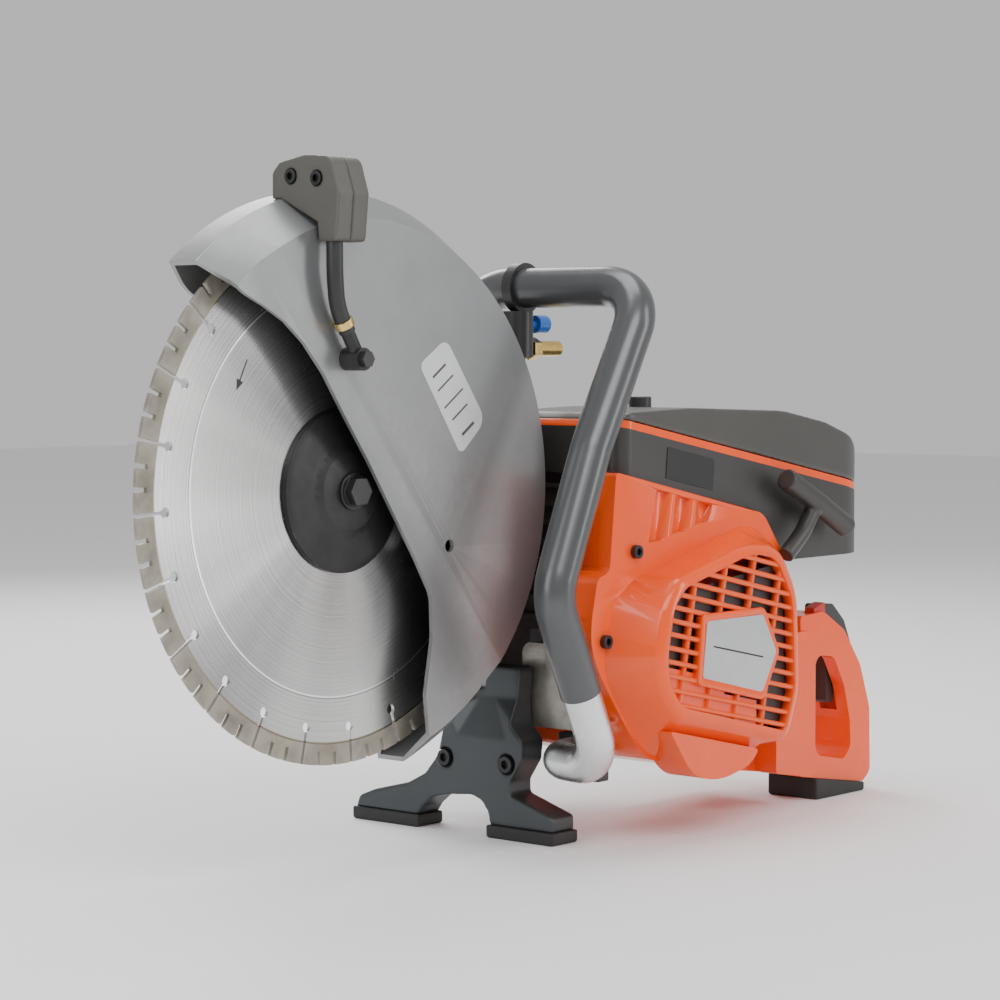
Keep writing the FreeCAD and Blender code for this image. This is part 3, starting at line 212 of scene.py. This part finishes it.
link(worn_surface, edge_amount.outputs[0], worn_colour.inputs["Factor"])
link(worn_surface, tinted.outputs["Vector"], worn_colour.inputs[6])
link(worn_surface, worn_in.outputs["Wear Color"], worn_colour.inputs[7])
link(worn_surface, smear.outputs["Fac"], uneven.inputs[0])
link(worn_surface, uneven.outputs[0], spread.inputs[0])
link(worn_surface, worn_in.outputs["Spread"], spread.inputs[1])
link(worn_surface, spread.outputs[0], rough.inputs[0])
link(worn_surface, worn_in.outputs["Roughness"], rough.inputs[1])
link(worn_surface, worn_colour.outputs[2], worn_out.inputs["Color"])
link(worn_surface, rough.outputs[0], worn_out.inputs["Roughness"])
link(worn_surface, grain.outputs["Fac"], worn_out.inputs["Height"])


def finish(name, colour, roughness, metallic=0.0, wear_colour=None, wear=0.4, spread=0.12, grain=1800.0,
           bump=0.1, depth=0.0002, blotch=0.05, coat=0.0, specular=0.5, coat_roughness=0.08):
    """A material whose colour, gloss and grain vary over the surface, with lighter worn edges."""
    made = bpy.data.materials.new(name)
    made.use_nodes = True
    tree = made.node_tree
    shader = tree.nodes["Principled BSDF"]
    shader.inputs["Metallic"].default_value = metallic
    shader.inputs["Specular IOR Level"].default_value = specular
    shader.inputs["Coat Weight"].default_value = coat
    shader.inputs["Coat Roughness"].default_value = coat_roughness
    surface = tree.nodes.new("ShaderNodeGroup")
    surface.node_tree = worn_surface
    surface.inputs["Color"].default_value = (*colour, 1.0)
    surface.inputs["Wear Color"].default_value = (*(wear_colour or [c * 1.6 + 0.03 for c in colour]), 1.0)
    surface.inputs["Wear"].default_value = wear
    surface.inputs["Roughness"].default_value = roughness
    surface.inputs["Spread"].default_value = spread
    surface.inputs["Grain Scale"].default_value = grain
    surface.inputs["Blotch"].default_value = blotch
    relief = new_node(tree, "ShaderNodeBump", Strength=bump, Distance=depth)
    link(tree, surface.outputs["Color"], shader.inputs["Base Color"])
    link(tree, surface.outputs["Roughness"], shader.inputs["Roughness"])
    link(tree, surface.outputs["Height"], relief.inputs["Height"])
    link(tree, relief.outputs["Normal"], shader.inputs["Normal"])
    return made


def dress(node, material):
    """Gives a CAD node its material."""
    shown = frame["nodes"][node]
    shown.data.materials.clear()
    shown.data.materials.append(material)


def new_piece(name, form, material, body, slot, *nodes):
    """Turns a bmesh into a piece that rides on a body and stands for these CAD nodes."""
    for face in form.faces:
        face.smooth = True
    mesh = bpy.data.meshes.new(name)
    form.to_mesh(mesh)
    form.free()
    piece = bpy.data.objects.new(name, mesh)
    bpy.context.scene.collection.objects.link(piece)
    mesh.materials.append(material)
    smooth = piece.modifiers.new("even_shading", "WEIGHTED_NORMAL")
    smooth.keep_sharp = True
    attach(piece, body)
    if nodes:
        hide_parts(*nodes)
    return piece


def eased(node, name, material, width, segments=2, angle=28.0, shape=None):
    """A copy of a CAD node with its sharp edges rounded off, which takes the node's place."""
    source = frame["nodes"][node]
    form = bmesh.new()
    form.from_mesh(source.data)
    bmesh.ops.remove_doubles(form, verts=form.verts, dist=0.00001)
    bmesh.ops.dissolve_limit(form, angle_limit=math.radians(0.8), verts=form.verts, edges=form.edges)
    if shape:
        shape(form)
    sharp = [edge for edge in form.edges
             if len(edge.link_faces) == 2 and edge.calc_face_angle(0.0) > math.radians(angle)]
    bmesh.ops.bevel(form, geom=sharp, offset=width, offset_type="OFFSET", segments=segments, profile=0.5,
                    affect="EDGES", clamp_overlap=True, material=-1)
    return new_piece(name, form, material, source["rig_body"], node_slots[node], node)


def softened(node, name, material, voxel, passes, shape=None):
    """A copy of a CAD node whose edges are all moulded round, which takes the node's place."""
    source = frame["nodes"][node]
    form = bmesh.new()
    form.from_mesh(source.data)
    bmesh.ops.remove_doubles(form, verts=form.verts, dist=0.00001)
    if shape:
        shape(form)
    piece = new_piece(name, form, material, source["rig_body"], node_slots[node], node)
    piece.modifiers.clear()
    skin = piece.modifiers.new("even_skin", "REMESH")
    skin.mode = "VOXEL"
    skin.voxel_size = voxel / 1000.0
    skin.use_smooth_shade = True
    relax = piece.modifiers.new("moulded_edges", "SMOOTH")
    relax.factor = 0.5
    relax.iterations = passes
    return piece


def disc_shine(name, colour, dark, roughness, anisotropy, rings):
    """Steel ground in circles about the spindle, with painted reflection in lighter and darker fans round
    it, and thin rings, each a radius, half width and colour.
    """
    made = finish(name, colour, roughness, metallic=1.0, wear=0.0, spread=0.02, bump=0.0)
    tree = made.node_tree
    shader = tree.nodes["Principled BSDF"]
    shader.inputs["Anisotropic"].default_value = anisotropy
    place = new_node(tree, "ShaderNodeTexCoord")
    centred = new_node(tree, "ShaderNodeMapping")
    centred.inputs["Location"].default_value = -spindle
    around = new_node(tree, "ShaderNodeVectorMath", operation="CROSS_PRODUCT")
    around.inputs[1].default_value = (0.0, 1.0, 0.0)
    flat = new_node(tree, "ShaderNodeVectorMath", operation="MULTIPLY")
    flat.inputs[1].default_value = (1.0, 0.0, 1.0)
    reach = new_node(tree, "ShaderNodeVectorMath", operation="LENGTH")
    unit = new_node(tree, "ShaderNodeVectorMath", operation="NORMALIZE")
    link(tree, place.outputs["Object"], centred.inputs["Vector"])
    link(tree, centred.outputs["Vector"], flat.inputs[0])
    link(tree, flat.outputs["Vector"], around.inputs[0])
    link(tree, around.outputs["Vector"], unit.inputs[0])
    link(tree, unit.outputs["Vector"], shader.inputs["Tangent"])
    link(tree, flat.outputs["Vector"], reach.inputs[0])
    circles = new_node(tree, "ShaderNodeTexNoise", noise_dimensions="1D", Scale=900.0, Detail=2.0)
    link(tree, reach.outputs["Value"], circles.inputs["W"])
    # Painted reflection: lighter and darker fans round the spindle, painted into the colour and mixed with
    # the real fine grinding rings.
    painted_fan_sheen = new_node(tree, "ShaderNodeTexNoise", Scale=1.7, Detail=2.0, Roughness=0.4)
    link(tree, unit.outputs["Vector"], painted_fan_sheen.inputs["Vector"])
    faint = new_node(tree, "ShaderNodeMath", operation="MULTIPLY")
    faint.inputs[1].default_value = 0.35
    link(tree, circles.outputs["Fac"], faint.inputs[0])
    both = new_node(tree, "ShaderNodeMath", operation="ADD")
    link(tree, faint.outputs[0], both.inputs[0])
    link(tree, painted_fan_sheen.outputs["Fac"], both.inputs[1])
    tone = new_node(tree, "ShaderNodeMapRange", From_Min=0.48, From_Max=0.88)
    link(tree, both.outputs[0], tone.inputs["Value"])
    mixed = new_node(tree, "ShaderNodeMix", data_type="RGBA")
    mixed.inputs[6].default_value = (*dark, 1.0)
    mixed.inputs[7].default_value = (*colour, 1.0)
    link(tree, tone.outputs["Result"], mixed.inputs["Factor"])
    latest = mixed.outputs[2]
    for radius, half_width, tint in rings:
        off = new_node(tree, "ShaderNodeMath", operation="COMPARE")
        off.inputs[1].default_value = radius
        off.inputs[2].default_value = half_width
        link(tree, reach.outputs["Value"], off.inputs[0])
        ringed = new_node(tree, "ShaderNodeMix", data_type="RGBA")
        ringed.inputs[7].default_value = (*tint, 1.0)
        link(tree, off.outputs[0], ringed.inputs["Factor"])
        link(tree, latest, ringed.inputs[6])
        latest = ringed.outputs[2]
    link(tree, latest, shader.inputs["Base Color"])
    return made


# Rings painted into the disc's colour: a painted highlight and a painted shadow along the groove, and the
# real dark brazing line at the rim.
painted_groove_highlight = (0.1315, 0.0005, (0.95, 0.95, 0.93))
groove_shadow = (0.1325, 0.0004, (0.30, 0.30, 0.30))
heated_edge = (0.1615, 0.0012, (0.25, 0.21, 0.16))
blade_steel = disc_shine("ground_steel", (0.62, 0.62, 0.61), (0.30, 0.30, 0.30), 0.27, 0.85,
                         (painted_groove_highlight, groove_shadow, heated_edge))
eased("blade_core", "blade_disc", blade_steel, 0.0002, 1)
diamond_matrix = finish("diamond_matrix", (0.27, 0.245, 0.20), 0.5, metallic=0.6, spread=0.3, grain=1400.0,
                        bump=0.55, depth=0.0004, blotch=0.3, wear_colour=(0.75, 0.72, 0.66), wear=0.8)
eased("diamond_segments", "blade_segments", diamond_matrix, 0.0003, 2)

arrow = bmesh.new()
arrow_thickness = 0.0001
arrow_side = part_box("blade_core")[0].y - 0.00003
arrow_points = [(-82.1, 83.8), (-82.9, 84.2), (-89.4, 71.5), (-91.5, 72.6), (-92.0, 65.0), (-86.2, 69.9),
                (-88.3, 71.0)]
arrow.faces.new([arrow.verts.new((*at(x, 0, z).xz, 0.0)) for x, z in arrow_points])
bmesh.ops.rotate(arrow, verts=arrow.verts, cent=(0, 0, 0), matrix=Matrix.Rotation(math.radians(90), 3, "X"))
bmesh.ops.translate(arrow, verts=arrow.verts, vec=(0.0, arrow_side, 0.0))
arrow_top = bmesh.ops.extrude_face_region(arrow, geom=arrow.faces[:])
bmesh.ops.translate(arrow, verts=[v for v in arrow_top["geom"] if isinstance(v, bmesh.types.BMVert)],
                    vec=(0.0, arrow_thickness, 0.0))
bmesh.ops.recalc_face_normals(arrow, faces=arrow.faces)
arrow_ink = finish("arrow_ink", (0.012, 0.012, 0.012), 0.5, wear=0.2)
new_piece("turning_arrow", arrow, arrow_ink, "blade", "flange_black")


# ---- Blade flanges, bolt and shaft
# Two dished black steel flanges clamp the blade, pressed on by a hexagon bolt in the end of the
# ground spindle, which the driven pulley turns.

flange_black = finish("black_oxide_steel", (0.022, 0.022, 0.023), 0.42, metallic=0.35, spread=0.3,
                      grain=900.0, bump=0.35, depth=0.0003, wear_colour=(0.16, 0.16, 0.16), wear=0.7,
                      blotch=0.3)
eased("outer_flange", "outer_flange_dish", flange_black, 0.0008, 3)
eased("inner_flange", "inner_flange_dish", flange_black, 0.0006)
eased("centre_bolt", "hexagon_bolt", flange_black, 0.0006, 2)
machined_steel = finish("machined_steel", (0.52, 0.53, 0.54), 0.3, metallic=1.0, grain=2400.0, bump=0.08)
for node in ("spindle_shaft", "driven_pulley", "ball_bearings"):
    dress(node, machined_steel)


# ---- Blade guard and its grips
# A cast magnesium shell with a satin grey powder coat and a plain silver label. Two moulded grip halves
# are screwed to its top, and a short hose with a brass collar feeds water to a nozzle on its side.

guard_grey = finish("guard_powder_coat", (0.24, 0.244, 0.248), 0.36, metallic=0.55, spread=0.1,
                    grain=2200.0, bump=0.16, depth=0.00015, blotch=0.05, wear=0.35,
                    wear_colour=(0.52, 0.52, 0.52))


def crease_guard(form):
    """Bends the strip along the guard's open front inwards, past a crease."""
    crease = at(-53, -28, 114)
    ahead = Vector((-0.79, 0.0, -0.613))
    inner_side = at(0, -24.5, 0).y
    slope = 0.16
    widest = 0.018
    bmesh.ops.bisect_plane(form, geom=form.verts[:] + form.edges[:] + form.faces[:], plane_co=crease,
                           plane_no=ahead)
    for vert in form.verts:
        reach = (vert.co - crease).dot(ahead)
        if vert.co.y < inner_side and reach > 0.0:
            vert.co.y += slope * min(reach, widest)


eased("blade_guard", "guard_shell", guard_grey, 0.0022, 4, 8.0, crease_guard)
grip_taupe = finish("moulded_grip", (0.075, 0.071, 0.062), 0.45, spread=0.15, grain=1500.0, bump=0.3,
                    depth=0.0003, wear=0.3, wear_colour=(0.22, 0.21, 0.19))
softened("guard_grip_front", "front_grip_half", grip_taupe, 0.8, 14)
softened("guard_grip_rear", "rear_grip_half", grip_taupe, 0.8, 14)
screw_black = finish("blackened_screws", (0.02, 0.02, 0.021), 0.32, metallic=0.6, wear=0.8,
                     wear_colour=(0.3, 0.3, 0.3))
eased("grip_screws", "grip_screw_heads", screw_black, 0.0005)
def rounded_corners(corners):
    """The points of an outline in X and Z, each corner rounded by its third number in millimetres."""
    flat = bmesh.new()
    flat.faces.new([flat.verts.new((corner[0], 0.0, corner[1])) for corner in corners])
    flat.verts.ensure_lookup_table()
    wanted = [(vert, corner[2]) for vert, corner in zip(flat.verts, corners) if len(corner) > 2]
    for vert, cut in wanted:
        bmesh.ops.bevel(flat, geom=[vert], offset=cut, offset_type="OFFSET", segments=5, profile=0.5,
                        affect="VERTICES", clamp_overlap=True, material=-1)
    flat.faces.ensure_lookup_table()
    points = [(vert.co.x, vert.co.z) for vert in flat.faces[0].verts]
    flat.free()
    return points


def add_loop(form, corners, y):
    """A closed loop of edges round that outline at one depth."""
    verts = [form.verts.new(at(x, y, z)) for x, z in rounded_corners(corners)]
    return [form.edges.new((verts[i - 1], verts[i])) for i in range(len(verts))]


def pull_loop(form, edges, depth):
    """Extrudes a loop by a depth in Y and returns the loop at its new end."""
    made = bmesh.ops.extrude_edge_only(form, edges=edges)["geom"]
    bmesh.ops.translate(form, verts=[v for v in made if isinstance(v, bmesh.types.BMVert)],
                        vec=(0.0, depth / 1000.0, 0.0))
    ends = {v for v in made if isinstance(v, bmesh.types.BMVert)}
    return [e for e in made if isinstance(e, bmesh.types.BMEdge) and set(e.verts) <= ends]


def fill_between(form, *loops):
    """A flat face inside the first loop and outside the others."""
    edges = [edge for loop in loops for edge in loop]
    bmesh.ops.triangle_fill(form, use_beauty=True, use_dissolve=False, edges=edges)


def round_rim(form, edges, width, segments=4):
    """Rounds off the edges of a rim by a width in millimetres."""
    bmesh.ops.bevel(form, geom=edges, offset=width / 1000.0, offset_type="OFFSET", segments=segments,
                    profile=0.5, affect="EDGES", clamp_overlap=True, material=-1)


def slab(corners, near, far, rim, pockets=(), pocket_depth=4.0, segments=4):
    """A plate with that outline between two depths in Y, with pockets in its near face."""
    form = bmesh.new()
    front = add_loop(form, corners, near)
    mouths = [add_loop(form, pocket, near) for pocket in pockets]
    fill_between(form, front, *mouths)
    back = pull_loop(form, front, far - near)
    fill_between(form, back)
    for mouth in mouths:
        fill_between(form, pull_loop(form, mouth, pocket_depth))
    bmesh.ops.recalc_face_normals(form, faces=form.faces)
    round_rim(form, front, rim, segments)
    return form


label_silver = finish("label_silver", (0.62, 0.63, 0.64), 0.3, metallic=0.4, bump=0.03)
label_ink = finish("label_ink", (0.05, 0.05, 0.05), 0.4, wear=0.1)
label_face = -28.4
label_back = -27.8
bar_depth = -28.45
label = slab([(71, 97, 7), (45, 80, 5), (85, 21, 5), (110, 43, 9)], label_face, label_back, 0.2)
new_piece("guard_label", label, label_silver, "guard", "plate_silver")
label_tilt = Matrix.Rotation(math.radians(-35), 3, "Y")
label_marks = bmesh.new()
for x, z, sides in ((64, 76, (0.0150, 0.0002, 0.0016)), (70, 68, (0.0180, 0.0002, 0.0012)),
                    (78, 58, (0.0220, 0.0002, 0.0012)), (84, 49, (0.0180, 0.0002, 0.0012)),
                    (92, 38, (0.0140, 0.0002, 0.0020))):
    made = bmesh.ops.create_cube(label_marks, size=1.0)["verts"]
    bmesh.ops.scale(label_marks, vec=sides, verts=made)
    bmesh.ops.rotate(label_marks, cent=(0, 0, 0), matrix=label_tilt, verts=made)
    bmesh.ops.translate(label_marks, vec=at(x, bar_depth, z), verts=made)
new_piece("label_bars", label_marks, label_ink, "guard", "flange_black")

brass = finish("turned_brass", (0.72, 0.50, 0.17), 0.26, metallic=1.0, spread=0.2, blotch=0.2, bump=0.1,
               wear_colour=(0.9, 0.72, 0.35))
eased("hose_fittings", "hose_nozzles", flange_black, 0.0004)

collar = bmesh.new()
collar_radius = 0.0064
collar_length = 0.005
bmesh.ops.create_cone(collar, cap_ends=True, segments=32, radius1=collar_radius, radius2=collar_radius,
                      depth=collar_length)
hose_direction = at(-31, -37, 101) - at(-40, -37, 116)
bmesh.ops.rotate(collar, verts=collar.verts, cent=(0, 0, 0),
                 matrix=hose_direction.to_track_quat("Z", "Y").to_matrix())
bmesh.ops.translate(collar, verts=collar.verts, vec=at(-34, -37, 106))
round_edges = [edge for edge in collar.edges if edge.calc_face_angle() > 1.0]
bmesh.ops.bevel(collar, geom=round_edges, offset=0.0006, offset_type="OFFSET", segments=3, profile=0.5,
                affect="EDGES", clamp_overlap=True, material=-1)
new_piece("hose_collar", collar, brass, "guard", "brass")

eased("water_inlet", "tap_nipple", brass, 0.0004)
hose_rubber = finish("hose_rubber", (0.017, 0.017, 0.018), 0.45, spread=0.2, bump=0.2, wear=0.15)
dress("guard_hose", hose_rubber)
dress("water_hose", hose_rubber)


# ---- Cutting arm and belt drive
# A cast aluminium arm carries the spindle in ball bearings, with a belt from the clutch drum behind a
# screwed cover.

cast_aluminium = finish("cast_aluminium", (0.42, 0.42, 0.42), 0.48, metallic=0.9, grain=900.0, bump=0.4,
                        depth=0.0003, blotch=0.12)
cover_grey = finish("dark_grained_plastic", (0.030, 0.029, 0.027), 0.40, spread=0.12, grain=1500.0,
                    bump=0.22, depth=0.0002, wear=0.25, wear_colour=(0.12, 0.115, 0.105))
softened("cutting_arm", "arm_casting", cast_aluminium, 1.4, 8)
eased("belt_cover", "belt_cover_shell", cover_grey, 0.0025, 4)
eased("clutch_cover", "clutch_cover_shell", cover_grey, 0.002, 3)
dress("drive_belt", hose_rubber)


# ---- Engine
# Cast aluminium cylinder and crankcase, steel crankshaft, drum and clutch, a sheet steel muffler, and
# the carburettor, boot, plug and air filter behind the covers.

for node in ("crankcase", "cylinder", "carburettor", "piston", "flywheel_fan"):
    dress(node, cast_aluminium)
for node in ("crankshaft", "clutch_hub", "clutch_drum", "spark_plug"):
    dress(node, machined_steel)
pad_rubber = finish("moulded_rubber", (0.014, 0.014, 0.014), 0.55, spread=0.2, grain=900.0, bump=0.35,
                    depth=0.0003, wear=0.2)
for node in ("intake_boot", "spark_plug_cap", "vibration_mounts"):
    dress(node, pad_rubber)
muffler_steel = finish("heated_sheet_steel", (0.44, 0.415, 0.37), 0.38, metallic=0.85, spread=0.35,
                       grain=500.0, bump=0.5, depth=0.0004, blotch=0.35)
eased("muffler", "muffler_box", muffler_steel, 0.002, 3)
filter_paper = finish("filter_paper", (0.62, 0.52, 0.30), 0.8, grain=700.0, bump=0.5)
dress("air_filter", filter_paper)
eased("front_shroud", "ribbed_shroud", cover_grey, 0.0012, 3)


# ---- Top cover
# Three moulded layers over the cylinder and the air filter, held by screws: the dark lower cover with
# a blank badge, a thin orange line, and the filter lid.

orange_gloss = finish("glossy_orange", (0.88, 0.078, 0.001), 0.25, spread=0.06, grain=500.0, bump=0.03,
                      depth=0.0002, blotch=0.03, coat=0.35, coat_roughness=0.05, wear=0.1, specular=0.3,
                      wear_colour=(0.95, 0.3, 0.08))
eased("cylinder_cover", "cylinder_cover_shell", cover_grey, 0.002, 3)
eased("trim_band", "orange_line", orange_gloss, 0.0008)
lid_grey = finish("satin_lid_plastic", (0.052, 0.050, 0.045), 0.36, spread=0.1, grain=1500.0, bump=0.15,
                  wear=0.2, wear_colour=(0.14, 0.13, 0.12))
softened("filter_lid", "filter_lid_shell", lid_grey, 1.4, 16)

badge_black = finish("badge_black", (0.014, 0.014, 0.014), 0.32, bump=0.04)
badge_outline = [(242.5, 23.0, 1), (296.5, 12.5, 1), (294.5, -9.0, 1), (240.5, 1.5, 1)]
badge = slab(badge_outline, -78.5, -77.5, 0.3)
new_piece("blank_badge", badge, badge_black, "machine", "cover_grey")

lever_dark = finish("dark_levers", (0.03, 0.03, 0.03), 0.4, bump=0.15)
for node in ("decompression_valve", "choke_knob"):
    eased(node, node + "_button", lever_dark, 0.0008, 3)


# ---- Starter
# A glossy orange moulded housing with a slatted grille, a silver plate without lettering, a rope
# pulley inside, and a dark pull grip.

base_outline = [(176, 8, 3), (345, -27, 6), (370, -58, 8), (372, -178, 6), (340, -193, 8), (271, -201, 20),
                (206, -187, 12), (182, -158, 10), (164, -134, 12), (150, -112, 10), (149, -92, 8),
                (156, -62, 4), (169, -58, 4)]
louvres = [[(220, -5.4, 1), (236, -7.6, 1), (227.6, -40, 1), (211, -41.2, 1)],
           [(245, -10.5, 1), (260, -13.2, 1), (253.3, -35, 1), (238, -36, 1)],
           [(269, -15.2, 1), (284, -18, 1), (279, -30, 1), (264, -31, 1)]]
panel_face = -86
panel_back = -56
panel_rim = 7
louvre_depth = 5.0
panel = slab(base_outline, panel_face, panel_back, panel_rim, louvres, louvre_depth, 5)
new_piece("starter_panel", panel, orange_gloss, "machine", "orange_gloss", "starter_housing")

bulge_foot = [(193, -64, 8), (242, -53, 10), (291, -40, 10), (323, -32, 12), (352, -42, 12), (366, -72, 12),
              (368, -172, 8), (338, -191, 10), (271, -200, 20), (207, -186, 12), (184, -158, 12),
              (166, -136, 12), (160, -112, 14), (172, -78, 10)]
bulge_crest = [(208, -65, 6), (289, -45, 14), (324, -50, 12), (346, -84, 10), (349, -150, 8), (335, -186, 8),
               (205, -155, 10), (189, -134, 10), (187, -112, 8), (196, -78, 8)]
grille_mouth = [(214, -70, 3), (289, -51, 12), (318, -56, 8), (338, -86, 8), (341, -148, 6), (329, -178, 4),
                (209, -150, 8), (195, -131, 8), (194, -114, 6), (201, -82, 4)]
crest_face = -116
foot_face = -84
mouth_wall = 7.0
foot_wall = 3.0
crest_rounding = 7.0
bulge = bmesh.new()
foot_loop = add_loop(bulge, bulge_foot, foot_face)
crest_loop = add_loop(bulge, bulge_crest, crest_face)
mouth_loop = add_loop(bulge, grille_mouth, crest_face)
bmesh.ops.bridge_loops(bulge, edges=foot_loop + crest_loop)
fill_between(bulge, crest_loop, mouth_loop)
pull_loop(bulge, mouth_loop, mouth_wall)
pull_loop(bulge, foot_loop, foot_wall)
bmesh.ops.recalc_face_normals(bulge, faces=bulge.faces)
round_rim(bulge, crest_loop, crest_rounding, 5)
new_piece("starter_bulge", bulge, orange_gloss, "machine", "orange_gloss")

slat_tilt = Matrix.Rotation(math.radians(12.0), 3, "Y")
slat_size = (0.200, 0.0045, 0.0032)
rib_size = (0.0030, 0.0045, 0.200)
slat_pitch = 9.3
rib_pitch = 33
slat_reach = 0.0015
rows = [(at(265, -113.2, -114 + slat_pitch * (i - 7)), slat_size) for i in range(15)]
ribs = [(at(266 + rib_pitch * (i - 1.5), -112.6, -114), rib_size) for i in range(4)]
slats = bmesh.new()
for middle, sides in rows + ribs:
    made = bmesh.ops.create_cube(slats, size=1.0)["verts"]
    bmesh.ops.scale(slats, vec=sides, verts=made)
    bmesh.ops.rotate(slats, cent=(0, 0, 0), matrix=slat_tilt, verts=made)
    bmesh.ops.translate(slats, vec=middle, verts=made)
edge_points = [(x, z) for x, z, *_ in grille_mouth]
for (x0, z0), (x1, z1) in zip(edge_points, edge_points[1:] + edge_points[:1]):
    outward = Vector((z0 - z1, 0.0, x1 - x0)).normalized()
    bmesh.ops.bisect_plane(slats, geom=slats.verts[:] + slats.edges[:] + slats.faces[:],
                           plane_co=at(x0, 0, z0) + outward * slat_reach, plane_no=outward, clear_outer=True)
    bmesh.ops.holes_fill(slats, edges=[e for e in slats.edges if e.is_boundary], sides=8)
bmesh.ops.recalc_face_normals(slats, faces=slats.faces)
new_piece("grille_slats", slats, orange_gloss, "machine", "orange_gloss")

closed_outline = [(192, -121), (262, -136), (262, -146), (300, -154), (300, -173), (206, -152), (193, -133)]
closed_rows = slab(closed_outline, -112.5, -110.5, 0.3)
new_piece("closed_grille_rows", closed_rows, orange_gloss, "machine", "orange_gloss")
# Painted shade: a dark sheet just behind the slats stands in for the shade inside the housing.
shade_sheet_outline = [(213, -74, 4), (334, -60, 4), (341, -178, 4), (210, -150, 4), (197, -118, 4)]
grille_shade_sheet = slab(shade_sheet_outline, -109.4, -108.6, 0.3)
new_piece("grille_shade_sheet", grille_shade_sheet, cover_grey, "machine", "cover_grey")

lip_outline = [(204, -166, 4), (307, -189, 4), (297, -199, 8), (262, -206, 12), (230, -200, 12)]
lower_lip = slab(lip_outline, -110, -82, 2.5)
new_piece("starter_lower_lip", lower_lip, orange_gloss, "machine", "orange_gloss")

plate_outline = [(236, -94), (301, -94), (317, -121), (300, -148), (231, -132)]
border_outline = [(231.5, -89, 4), (303.5, -89, 4), (322, -121, 4), (303, -154, 4), (226, -136.5, 4)]
border = slab(border_outline, -117.0, -111.0, 1.2, [[(x, z, 3) for x, z in plate_outline]], 1.2)
new_piece("plate_border", border, orange_gloss, "machine", "orange_gloss")
plate_silver = finish("silver_plate", (0.50, 0.51, 0.52), 0.34, metallic=0.6, bump=0.05)
plate = slab([(x, z, 2.6) for x, z in plate_outline], -117.3, -115.9, 0.3)
new_piece("starter_plate_face", plate, plate_silver, "machine", "plate_silver", "starter_plate")
line_outline = [(243, -111.0), (301, -123.0), (301, -124.2), (243, -112.2)]
plate_line = slab(line_outline, -117.45, -117.2, 0.05)
new_piece("plate_line", plate_line, arrow_ink, "machine", "flange_black")
dress("starter_pulley", lever_dark)
softened("starter_handle", "pull_grip", cover_grey, 0.8, 10)


# ---- Tank, rear handle and its controls
# The orange fuel tank carries the two-part rear handle, with a throttle trigger, a lockout lever, a
# stop switch and a rubber foot.

eased("fuel_tank", "fuel_tank_casing", orange_gloss, 0.003, 4)
eased("fuel_cap", "filler_cap", lever_dark, 0.001, 3)
eased("rear_handle_left", "rear_handle_left_half", orange_gloss, 0.003, 4)
eased("rear_handle_right", "rear_handle_right_half", orange_gloss, 0.003, 4)
eased("throttle_trigger", "trigger_lever", lever_dark, 0.0012, 3)
eased("throttle_lockout", "lockout_lever", lever_dark, 0.0012, 3)
switch_red = finish("red_switch", (0.45, 0.02, 0.012), 0.35)
eased("stop_switch", "stop_slider", switch_red, 0.0006)
softened("rear_foot", "rear_rubber_foot", pad_rubber, 0.8, 8)


# ---- Front handle
# One bent aluminium tube runs from the right of the engine over the top and down the left side. A dark
# grey coating covers all but its lower left bend.

sleeve_grey = finish("handle_coating", (0.085, 0.088, 0.092), 0.3, metallic=0.5, spread=0.08, bump=0.05,
                     coat=0.25, coat_roughness=0.2, wear=0.2)
bare_aluminium = finish("bare_aluminium", (0.78, 0.79, 0.80), 0.3, metallic=1.0, spread=0.25, grain=300.0,
                        bump=0.12, depth=0.0004)
stand_grey = finish("stand_coating", (0.055, 0.062, 0.066), 0.36, metallic=0.45, spread=0.15, bump=0.15,
                    wear=0.3)
eased("front_handle_sleeve", "handle_coating_tube", sleeve_grey, 0.0004)
eased("front_handle_tube", "handle_tube", bare_aluminium, 0.0004)
softened("handle_clamps", "handle_clamp_blocks", stand_grey, 0.8, 10)


# ---- Water tap
# A black moulded tap under the crossbar, with a blue knob. It is clamped to the tube, and feeds water
# to the guard.

valve_black = finish("black_tap", (0.016, 0.016, 0.017), 0.35)
knob_blue = finish("blue_knob", (0.01, 0.14, 0.62), 0.25, coat=0.4)
eased("water_valve", "tap_body", valve_black, 0.0008, 3)
eased("water_knob", "tap_knob", knob_blue, 0.0008, 3)


# ---- Front stand
# A dark grey cast bracket with two legs on rubber pads. It is screwed under the crankcase and carries
# the front of the saw.

def recess_stand(form):
    """Sets the upper part of the stand's front face back behind a slanted ledge."""
    ledge_top = -150
    ledge_foot = -177
    recess_depth = 0.009
    for height in (ledge_top, ledge_foot):
        bmesh.ops.bisect_plane(form, geom=form.verts[:] + form.edges[:] + form.faces[:],
                               plane_co=at(162, 0, height), plane_no=(0.0, 0.0, 1.0))
    for vert in form.verts:
        if vert.co.z > at(0, 0, ledge_top - 1).z and vert.co.x < at(170, 0, 0).x:
            vert.co.x += recess_depth


softened("stand", "stand_casting", stand_grey, 1.0, 12, recess_stand)
softened("stand_pads", "stand_rubber_pads", pad_rubber, 0.7, 10)
eased("socket_screws", "socket_screw_heads", screw_black, 0.0005)
